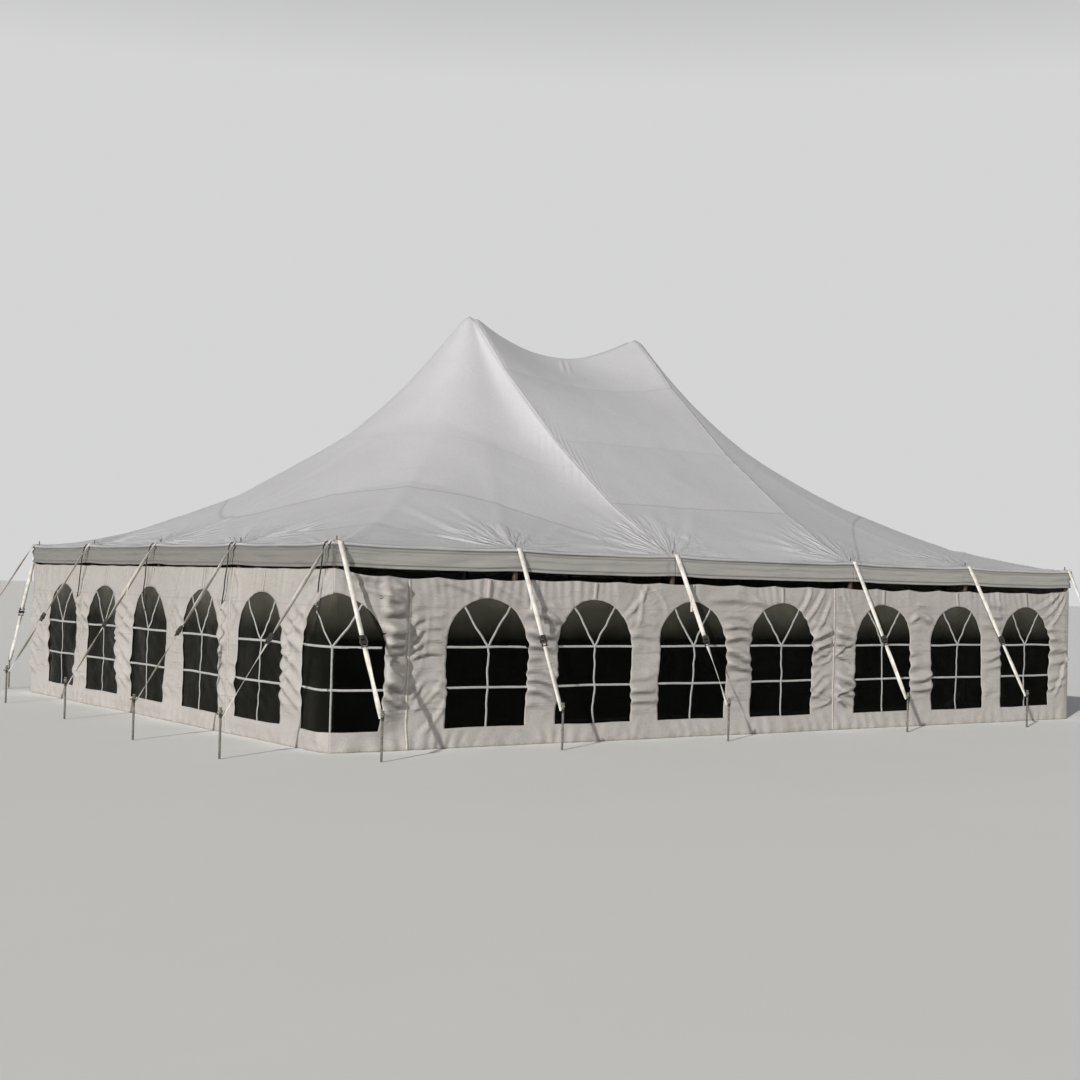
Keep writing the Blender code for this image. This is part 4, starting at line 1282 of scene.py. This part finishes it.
def make_windows(looks):
    """The panes, each a sheet of film welded behind its arch, and the white tape that divides it."""
    film = film_material()
    # The glazing tape is plain white and matt, the brightest thing against the dark panes.
    tape = speckled_material("white PVC tape", tones("#9C9D9B", "#BDBEBB"), 30.0, (0.45, 0.6))
    z_lines = stepped([WINDOW_SILL - PANE_LAP, WINDOW_SPRING + WINDOW_RADIUS + PANE_LAP], 0.03)
    for name, side in SIDES.items():
        limit = side["half"] - CORNER_GAP
        points, flat, faces, runs = [], [], [], []
        count, pane_area = 0, 0.0
        for center in side["windows"]:
            low, high = (center + way * (WINDOW_RADIUS + PANE_LAP) for way in (-1, 1))
            low, high = max(low, -limit), min(high, limit)
            gu, gz = np.meshgrid(stepped([low, high], 0.06), z_lines, indexing="ij")
            points.append(surface_point(side, gu.ravel(), gz.ravel(), -PANE_BEHIND, looks))
            flat.append(np.stack([gu.ravel(), gz.ravel()], axis=-1))
            faces += grid_faces(np.arange(gu.size).reshape(gu.shape) + count).tolist()
            count += gu.size
            pane_area += (high - low) * (z_lines[-1] - z_lines[0])
            runs += [wall_run(side, start, end, 0.002 - PANE_BEHIND, looks, 0.035)
                     for start, end in window_bars(center, limit)]
        pane = new_piece(name + "_window_panes", np.concatenate(points), faces, np.concatenate(flat), film)
        thicken(pane, 0.0012)
        settle(pane, "window_film", name + "_window_film")
        runs = [run for run in runs if len(run) > 1]
        settle(tape_piece(name + "_window_bars", runs, looks.bar_width, TAPE_THICKNESS, tape), "wall_cloth")


# Poles, guys and fittings


def make_poles():
    """The poles' own solids show, so they only get their materials."""
    wood = pole_material("oiled softwood with a steel ferrule", tones("#33271E", "#57422F"))
    # Galvanising leaves a pale grey spangle that catches the light softly.
    tube = speckled_material("galvanised steel tube", tones("#8F9397", "#B6B9BA"), 45.0, (0.35, 0.55), 0.1,
                             1.0)
    for name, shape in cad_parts.items():
        if "_pole" in name:
            for slot in shape.material_slots:
                slot.material = tube if name.endswith("center_pole") else wood


def guy_list():
    """Every guy: its name, side, pin's place along the side, reach, drift, tab's lift and turns."""
    guys = []
    for name in ("front", "back", "left", "right"):
        side = SIDES[name]
        kinds = (LONG_POLES, LONG_STAKES, LONG_TURNS) if side["long"] else (END_POLES, END_STAKES, END_TURNS)
        # At the ends the poles are listed the other way round, and a corner's tab lies on the long side's.
        way = 1 if side["long"] else -1
        for number, (pin, (reach, drift), turn) in enumerate(zip(*kinds), start=1):
            lift = TAB_THICKNESS if not side["long"] and abs(pin) > END_POLE_Y else 0.0
            guys.append((f"{name}_guy_{number}", side, way * pin, reach, way * drift, lift, turn))
    return guys


def make_ratchet(bm):
    """A ratchet buckle, 130 mm long: two side plates, the spool between them, a bent handle and its bolts."""
    for side in (-1, 1):
        y = side * 0.030
        add_block(bm, (-0.062, y - 0.0016, -0.010), (0.058, y + 0.0016, 0.014), 0.001)
        add_block(bm, (-0.058, side * 0.0355 - 0.0014, 0.002), (0.020, side * 0.0355 + 0.0014, 0.019), 0.001)
        across = Matrix.Rotation(math.pi / 2, 4, "X")
        for x, radius in ((-0.002, 0.019), (-0.050, 0.008), (0.050, 0.008)):
            place = Matrix.Translation((x, side * 0.0385, 0.004)) @ across
            add_lathe(bm, [(radius * 0.6, -0.003), (radius, -0.0015), (radius, 0.0015),
                           (radius * 0.6, 0.003)], 14, place)
    across = Matrix.Translation((0.0, 0.0, 0.004)) @ Matrix.Rotation(math.pi / 2, 4, "X")
    add_lathe(bm, [(0.0105, -0.03), (0.0105, 0.03)], 14, across)
    add_lathe(bm, [(0.0175, -0.026), (0.0185, -0.02), (0.0185, 0.02), (0.0175, 0.026)], 14, across)
    add_tube(bm, [(-0.050, -0.03, 0.004), (-0.050, 0.03, 0.004)], 0.005, 8)
    add_tube(bm, [(0.050, -0.03, 0.004), (0.050, 0.03, 0.004)], 0.005, 8)
    add_block(bm, (-0.066, -0.034, 0.013), (-0.028, 0.034, 0.0165), 0.0012)
    add_tube(bm, [(-0.066, -0.034, 0.015), (-0.066, 0.034, 0.015)], 0.0035, 8)


def make_stake(bm):
    """A stake, upright from the ground: a bar with a mushroomed head and a collar."""
    low = STAKE_HEIGHT
    add_lathe(bm, [(0.008, 0.0), (0.0125, 0.003), (0.0122, 0.12), (0.0127, 0.28), (0.0122, low - 0.07),
                   (0.0125, low - 0.016),
                   (0.0165, low - 0.012), (0.0175, low - 0.004), (0.0125, low)], 12)
    add_lathe(bm, [(0.0125, 0.444), (0.021, 0.447), (0.022, 0.46), (0.021, 0.473), (0.0125, 0.476)], 12)


def make_stakes_hook(bm):
    """A bent wire hook that holds the strap's loop to its stake, and the cord wound below it."""
    for height, tilt in ((0.432, 0.10), (0.424, -0.14), (0.416, 0.06), (0.404, -0.05)):
        place = Matrix.Translation((0.0, 0.0, height)) @ Matrix.Rotation(tilt, 4, "Y")
        add_tube(bm, [place @ spot for spot in around(0.0158, 0.0, 14)], 0.0034, 6, closed=True)
    hook = [(0.0, 0.006, 0.43), (0.012, 0.012, 0.436), (0.03, 0.0, 0.44), (0.036, -0.012, 0.436),
            (0.022, -0.016, 0.428)]
    add_tube(bm, hook, 0.004, 6)


def make_grommet(bm):
    """A brass eyelet, 34 mm across, pressed through a tab."""
    profile = ((0.0092, -0.0016), (0.0105, 0.0022), (0.013, 0.0034), (0.0162, 0.0022), (0.017, 0.0),
               (0.013, -0.0016))
    add_lathe(bm, profile, 18, closed=True)


def strap_runs(guy, eave_lift, rng):
    """The webbing of one guy, as runs for the tape tree, and where its ratchet, stake and eyelet go."""
    name, side, pin, reach, drift, lift, (upper_turn, lower_turn, loose_at) = guy
    tab = EAVE_HEIGHT + eave_lift + TAB_RISE + lift

    def spot(out, height):
        u = pin + drift * max(out - STRAP_BEND, 0.0) / (reach - STRAP_BEND)
        return Vector(on_side(side, u, out, height))

    bend, hook = (STRAP_BEND, tab), (reach, STRAP_END_HEIGHT)
    start, end = spot(*bend), spot(*hook)
    way = (end - start).normalized()
    away, up = outward(side), Vector((0.0, 0.0, 1.0))
    face = (away - way * away.dot(way)).normalized()

    upper = []
    for out, girth in ((-0.085, 1.0), (-0.07, 1.2), (-PIN_INSET, 1.35), (-0.02, 1.35), (0.0, 1.3)):
        upper.append((spot(out, tab), up, girth))
    for share in (0.35, 0.7):
        upper.append((spot(STRAP_BEND * share, tab - 0.002 * share), (up + face * share).normalized(), 1.25))
    for t in np.linspace(0.0, RATCHET_AT - 0.02, 30):
        turn = upper_turn * math.sin(math.pi * min(max((t - 0.02) / (RATCHET_AT - 0.02), 0.0), 1.0)) ** 0.6
        girth = 1.0 + 0.22 * (1.0 - float(smooth((t - 0.02) / 0.1)))
        upper.append((start.lerp(end, t), Matrix.Rotation(turn, 3, way) @ face, girth))
    lower = []
    for t in np.linspace(RATCHET_AT + 0.02, 1.0, 24):
        turn = lower_turn * math.sin(math.pi * (t - RATCHET_AT) / (1.0 - RATCHET_AT)) ** 1.5
        lower.append((start.lerp(end, t), Matrix.Rotation(turn, 3, way) @ face, 0.96))
    runs = [upper, lower]
    # The sewn end of the upper strap hangs free for a hand's width.
    root = start.lerp(end, loose_at)
    tail = []
    reach_out = rng.uniform(0.10, 0.16)
    for t in np.linspace(0.0, 1.0, 8):
        drop = way * (0.06 * t) - up * (reach_out * t ** 1.3) + face * (0.012 * math.sin(t * 3.0) + 0.004)
        tail.append((root + drop, (face + away * 0.4).normalized(), 0.8))
    if loose_at:
        runs.append(tail)
    ratchet = (start.lerp(end, RATCHET_AT), way, face)
    lean = math.atan2(STAKE_LEAN, STAKE_HEIGHT)
    foot = Vector(on_side(side, pin + drift, reach + STRAP_END_HEIGHT * math.tan(lean),
                          STAKE_RADIUS * math.sin(lean)))
    stake_way = (up * math.cos(lean) - away * math.sin(lean)).normalized()
    return runs, ratchet, (foot, away, stake_way), (spot(-PIN_INSET, tab + 0.0015), away, up)


# Loose ends of cord that hang from the left end's tabs, by the guy's number. Each point of a route is along
# the wall from the guy's pin, out from the wall's face, and down from the tab.
TAIL_START = ((-0.026, 0.006, 0.000), (-0.036, 0.024, 0.001), (-0.044, 0.040, 0.006), (-0.050, 0.053, 0.015),
              (-0.055, 0.063, 0.028), (-0.058, 0.070, 0.045))
TAIL_ROUTES = {
    1: ((-0.061, 0.074, 0.080), (-0.070, 0.074, 0.130), (-0.080, 0.073, 0.180), (-0.090, 0.073, 0.230),
        (-0.097, 0.075, 0.280), (-0.104, 0.078, 0.330), (-0.113, 0.081, 0.380), (-0.120, 0.083, 0.430),
        (-0.125, 0.084, 0.480), (-0.131, 0.084, 0.530)),
    2: ((-0.060, 0.074, 0.080), (-0.064, 0.075, 0.130), (-0.070, 0.074, 0.180), (-0.076, 0.073, 0.230),
        (-0.083, 0.076, 0.285), (-0.095, 0.080, 0.340), (-0.108, 0.083, 0.395), (-0.114, 0.085, 0.450),
        (-0.117, 0.087, 0.505), (-0.124, 0.089, 0.560), (-0.138, 0.091, 0.615), (-0.153, 0.092, 0.670),
        (-0.167, 0.092, 0.725), (-0.176, 0.091, 0.780)),
    3: ((-0.072, 0.074, 0.080), (-0.100, 0.075, 0.130), (-0.128, 0.074, 0.180), (-0.150, 0.073, 0.230),
        (-0.158, 0.076, 0.285), (-0.153, 0.080, 0.340), (-0.150, 0.083, 0.395), (-0.157, 0.085, 0.450),
        (-0.168, 0.087, 0.505), (-0.178, 0.089, 0.560), (-0.188, 0.090, 0.615), (-0.200, 0.090, 0.670)),
    4: ((-0.073, 0.074, 0.080), (-0.104, 0.075, 0.130), (-0.134, 0.074, 0.180), (-0.150, 0.073, 0.230),
        (-0.150, 0.076, 0.285), (-0.147, 0.080, 0.340), (-0.154, 0.083, 0.395), (-0.163, 0.085, 0.450),
        (-0.166, 0.087, 0.505), (-0.168, 0.089, 0.560), (-0.180, 0.091, 0.615), (-0.198, 0.092, 0.670),
        (-0.219, 0.092, 0.725), (-0.242, 0.091, 0.775), (-0.262, 0.090, 0.820)),
}
TAIL_RISE = 0.019
TAIL_DIAMETER = 0.014


def through(points, steps):
    """A smooth run through points, in so many steps from one to the next."""
    points = np.array(points)
    guides = np.vstack([2 * points[0] - points[1], points, 2 * points[-1] - points[-2]])
    t = (np.arange(steps)[:, None] + 1) / steps
    run = [points[:1]]
    for before, start, end, after in zip(guides, guides[1:], guides[2:], guides[3:]):
        run.append((2 * start + (end - before) * t + (2 * before - 5 * start + 4 * end - after) * t ** 2
                    + (3 * start - 3 * end + after - before) * t ** 3) / 2)
    return np.concatenate(run)


def make_tails(cord):
    """The black cords that hang down outside the valance from the tabs of the left end."""
    side = SIDES["left"]
    for number, route in TAIL_ROUTES.items():
        along, out, down = through(TAIL_START + route, 3).T
        heights = EAVE_HEIGHT + TAIL_RISE - down
        points = [Vector(spot) for spot in on_side(side, along - END_POLES[number - 1], out,
                                                   heights).tolist()]
        tube = piece_from(lambda bm: add_tube(bm, points, TAIL_DIAMETER / 2, 8), f"left_tail_{number}", cord,
                          smooth_faces=True)
        settle(tube, "guy_webbing")


def make_guys(looks):
    """The straps with their tabs, ratchets, stakes and eyelets, and the loose cords of the left end."""
    webbing = webbing_material("woven polyester webbing", tuple(looks.webbing), linear("#CDC8BC"), 11.0)
    # Painted shade: the straps of the ends get a darker copy of the webbing, for the shade they hang in.
    end_webbing = webbing_material("woven polyester webbing, soiled", tuple(looks.end_webbing),
                                   linear("#A09B91"), 3.0)
    # The ratchets' zinc has dulled to dark grey, with brighter worn patches.
    steel = speckled_material("zinc-plated steel, weathered", tones("#3A3835", "#6B6862"), 60.0,
                              (0.35, 0.6), 0.3, 0.8)
    # The stakes are driven and pulled again and again: brown-grey, rough, without shine.
    rust = speckled_material("rusted steel bar", tones("#57514A", "#8F8E84"), 38.0, (0.65, 0.9), 0.8, 0.3)
    # Black cord with the broken sheen of split fibres.
    cord = speckled_material("black polypropylene cord", tones("#161614", "#2C2A27"), 90.0, (0.7, 0.85), 0.5)
    # Pressed brass, dull yellow with brighter rims.
    brass = speckled_material("brass eyelet", tones("#7A6A3C", "#B7A873"), 70.0, (0.3, 0.5), 0.2, 1.0)
    rng = np.random.default_rng(7)
    eave_lift = bpy.context.scene.marquee_canopy.eave_lift
    ratchets, stakes, eyelets = [], [], []
    for guy in guy_list():
        runs, ratchet, stake, eyelet = strap_runs(guy, eave_lift, rng)
        finish = webbing if guy[1]["long"] else end_webbing
        piece = tape_piece(guy[0] + "_strap", runs, looks.strap_width, looks.strap_thickness, finish)
        settle(piece, "guy_webbing", guy[0])
        ratchets.append(ratchet)
        stakes.append(stake)
        eyelets.append(eyelet)
    for name, spots, build, finish in (
            ("ratchet_buckles", ratchets, make_ratchet, steel), ("stakes", stakes, make_stake, rust),
            ("stake_hooks", stakes, make_stakes_hook, cord), ("tab_eyelets", eyelets, make_grommet, brass)):
        fitting = piece_from(build, name + "_one", finish, smooth_faces=name != "ratchet_buckles")
        piece = place_fittings(name, spots, fitting, seed=5, spread=0.02 if name == "stakes" else 0.0)
        settle(piece, "guy_webbing")
    make_tails(cord)


# The stage

CAMERA_PLACE = Vector((-14.0234, -19.0227, 1.7823))
CAMERA_YAW = 0.6289
CAMERA_PITCH = 0.027
CAMERA_ROLL = 0.0253
SENSOR_WIDTH = 36.0
CAMERA_LENS = 1603.7337 * SENSOR_WIDTH / 1080.0
FLOOR_REACH = 250


def make_stage(looks):
    """A pale floor, a low soft sun from the left front, an even sky and the photograph's viewpoint."""
    scene = bpy.context.scene
    # The paint is matt and nearly even, so only the tent's shadow shows on it.
    paint = speckled_material("matt painted floor", (tuple(looks.floor), linear("#F4F4F2")), 0.4,
                              (0.8, 0.9), 0.02, specular=0.2)
    corners = [(FLOOR_REACH * x, FLOOR_REACH * y, -0.001) for x, y in ((-1, -1), (1, -1), (1, 1), (-1, 1))]
    floor = new_piece("studio_floor", corners, [(0, 1, 2, 3)], material=paint)
    # A pale band stands round the horizon like a studio's cyclorama, and above it the room is dim.
    world = bpy.data.worlds.new("studio cyclorama")
    world.use_nodes = True
    room = world.node_tree
    height = axes_of(room, node(room, "ShaderNodeTexCoord").outputs["Generated"])["Z"]
    tone = ramp(room, height, (0.0, linear("#F6F6F7")), (0.30, linear("#F6F6F7")),
                (0.52, linear("#6E7074")), (1.0, linear("#5C5E62")))
    dress(room, room.nodes["Background"], {"Color": tone, "Strength": looks.sky})
    scene.world = world
    lamp = bpy.data.lights.new("low sun", "SUN")
    lamp.energy = looks.sun
    lamp.angle = math.radians(1.0)
    lamp.color = linear("#FFFCF7")[:3]
    linked("low_sun", lamp).rotation_euler = Vector((1.72, 1.0, -0.80)).to_track_quat("-Z", "Y").to_euler()

    cos_pitch = math.cos(CAMERA_PITCH)
    ahead = Vector((math.sin(CAMERA_YAW) * cos_pitch, math.cos(CAMERA_YAW) * cos_pitch,
                    math.sin(CAMERA_PITCH)))
    right = Vector((math.cos(CAMERA_YAW), -math.sin(CAMERA_YAW), 0.0))
    up = right.cross(ahead)
    level = Matrix.Rotation(CAMERA_ROLL, 3, -ahead)
    right, up = level @ right, level @ up
    lens = bpy.data.cameras.new("photograph_view")
    lens.lens = CAMERA_LENS
    lens.sensor_width = SENSOR_WIDTH
    lens.clip_end = 400.0
    camera = linked("photograph_view", lens)
    camera.matrix_world = Matrix((
        (right.x, up.x, -ahead.x, CAMERA_PLACE.x), (right.y, up.y, -ahead.y, CAMERA_PLACE.y),
        (right.z, up.z, -ahead.z, CAMERA_PLACE.z), (0.0, 0.0, 0.0, 1.0)))
    scene.camera = camera
    scene.view_settings.view_transform = "Standard"


# Settings, operators and panel


def length(name, description, default):
    """A setting in metres."""
    return FloatProperty(name=name, description=description, default=default, unit="LENGTH")


def colour(name, description, default):
    """A setting that is a colour."""
    return FloatVectorProperty(name=name, description=description, subtype="COLOR", size=4, min=0.0, max=1.0,
                               default=linear(default))


class CanopyLooks(bpy.types.PropertyGroup):
    """What the canopy's cloth looks like."""
    cloth: colour("Cloth", "Colour of the clean canopy cloth", "#C9C9CC")
    thickness: length("Thickness", "Thickness of the cloth", 0.003)
    fine_cell: length("Fine cell", "Mesh spacing at the poles and seams", 0.021)
    coarse_cell: length("Coarse cell", "Mesh spacing elsewhere", 0.048)
    crease_depth: length("Crease depth", "Height of the creases at each side pole", 0.016)
    pucker_depth: length("Pucker depth", "Height of the gathers beside the seams", 0.012)
    panel_swell: length("Panel swell", "How far the cloth stands up between two welds", 0.02)
    ridge_height: length("Ridge height", "Height of the ridges drawn to the side poles", 0.011)
    eave_lift: length("Eave lift", "Rise of the edge at each side pole", 0.016)
    valance_wave: length("Valance wave", "How far the valance's foot sways", 0.012)


class WallLooks(bpy.types.PropertyGroup):
    """What the walls and windows look like."""
    cloth: colour("Cloth", "Colour of the clean wall cloth", "#B7B3AF")
    thickness: length("Thickness", "Thickness of the cloth", 0.003)
    cell: length("Cell", "Mesh spacing of the front and left walls", 0.0225)
    hidden_cell: length("Hidden cell", "Mesh spacing of the back and right walls", 0.028)
    billow: length("Billow", "Broad standing out of the cloth", 0.03)
    fold_depth: length("Fold depth", "Depth of the level folds between windows", 0.07)
    gather_depth: length("Gather depth", "Depth of the gathers under the clips", 0.014)
    foot_spread: length("Foot spread", "How far the foot stands out", 0.035)
    scallop: length("Scallop", "Sag of the top edge between its clips", 0.035)
    bar_width: length("Bar width", "Width of the window tape", 0.025)


class GuyLooks(bpy.types.PropertyGroup):
    """What the guys look like."""
    webbing: colour("Webbing", "Colour of the clean webbing", "#EAE7E0")
    # Painted shade: the ends' webbing is a darker copy of the clean webbing.
    end_webbing: colour("End webbing", "Colour of the ends' webbing, darker as painted shade", "#D9D5CC")
    strap_width: length("Strap width", "Width of the webbing", 0.05)
    strap_thickness: length("Strap thickness", "Thickness of the webbing", 0.003)


class StageLooks(bpy.types.PropertyGroup):
    """The floor and the light."""
    floor: colour("Floor", "Colour of the floor", "#F6F6F4")
    sun: FloatProperty(name="Sun", description="Strength of the sun, in watts per square metre", default=3.1)
    sky: FloatProperty(name="Sky", description="Strength of the light from all around", default=0.72)


class MARQUEE_OT_stage(bpy.types.Operator):
    """Lays the floor and sets the light and the camera"""
    bl_idname = "marquee.stage"
    bl_label = "Stage"

    def execute(self, context):
        make_stage(context.scene.marquee_stage)
        return {"FINISHED"}


class MARQUEE_OT_canopy(bpy.types.Operator):
    """Makes the canopy's three sections, with their valances"""
    bl_idname = "marquee.canopy"
    bl_label = "Canopy"

    def execute(self, context):
        make_canopy(context.scene.marquee_canopy)
        return {"FINISHED"}


class MARQUEE_OT_walls(bpy.types.Operator):
    """Makes the four walls, with their windows cut out"""
    bl_idname = "marquee.walls"
    bl_label = "Walls"

    def execute(self, context):
        make_walls(context.scene.marquee_walls)
        return {"FINISHED"}


class MARQUEE_OT_windows(bpy.types.Operator):
    """Makes the window panes and the tape that divides them"""
    bl_idname = "marquee.windows"
    bl_label = "Windows"

    def execute(self, context):
        make_windows(context.scene.marquee_walls)
        return {"FINISHED"}


class MARQUEE_OT_poles(bpy.types.Operator):
    """Gives the poles their wood and steel"""
    bl_idname = "marquee.poles"
    bl_label = "Poles"

    def execute(self, context):
        make_poles()
        return {"FINISHED"}


class MARQUEE_OT_guys(bpy.types.Operator):
    """Makes the straps, ratchets, stakes, eyelets and hanging cords"""
    bl_idname = "marquee.guys"
    bl_label = "Guys"

    def execute(self, context):
        make_guys(context.scene.marquee_guys)
        return {"FINISHED"}


OPERATORS = (MARQUEE_OT_stage, MARQUEE_OT_canopy, MARQUEE_OT_walls, MARQUEE_OT_windows, MARQUEE_OT_poles,
             MARQUEE_OT_guys)


class MARQUEE_PT_pieces(bpy.types.Panel):
    """Lists the tent's pieces in the order in which they are made"""
    bl_label = "Marquee tent"
    bl_idname = "MARQUEE_PT_pieces"
    bl_space_type = "VIEW_3D"
    bl_region_type = "UI"
    bl_category = "Marquee"

    def draw(self, context):
        for operator in OPERATORS:
            self.layout.operator(operator.bl_idname)


LOOKS = {"marquee_canopy": CanopyLooks, "marquee_walls": WallLooks, "marquee_guys": GuyLooks,
         "marquee_stage": StageLooks}


def register():
    for group in LOOKS.values():
        bpy.utils.register_class(group)
    for name, group in LOOKS.items():
        setattr(bpy.types.Scene, name, PointerProperty(type=group))
    for cls in (*OPERATORS, MARQUEE_PT_pieces):
        bpy.utils.register_class(cls)


def unregister():
    for cls in reversed((*OPERATORS, MARQUEE_PT_pieces)):
        bpy.utils.unregister_class(cls)
    for name in LOOKS:
        delattr(bpy.types.Scene, name)
    for group in reversed(tuple(LOOKS.values())):
        bpy.utils.unregister_class(group)


def main():
    register()
    for operator in OPERATORS:
        area, name = operator.bl_idname.split(".")
        getattr(getattr(bpy.ops, area), name)()


if __name__ == "__main__":
    main()
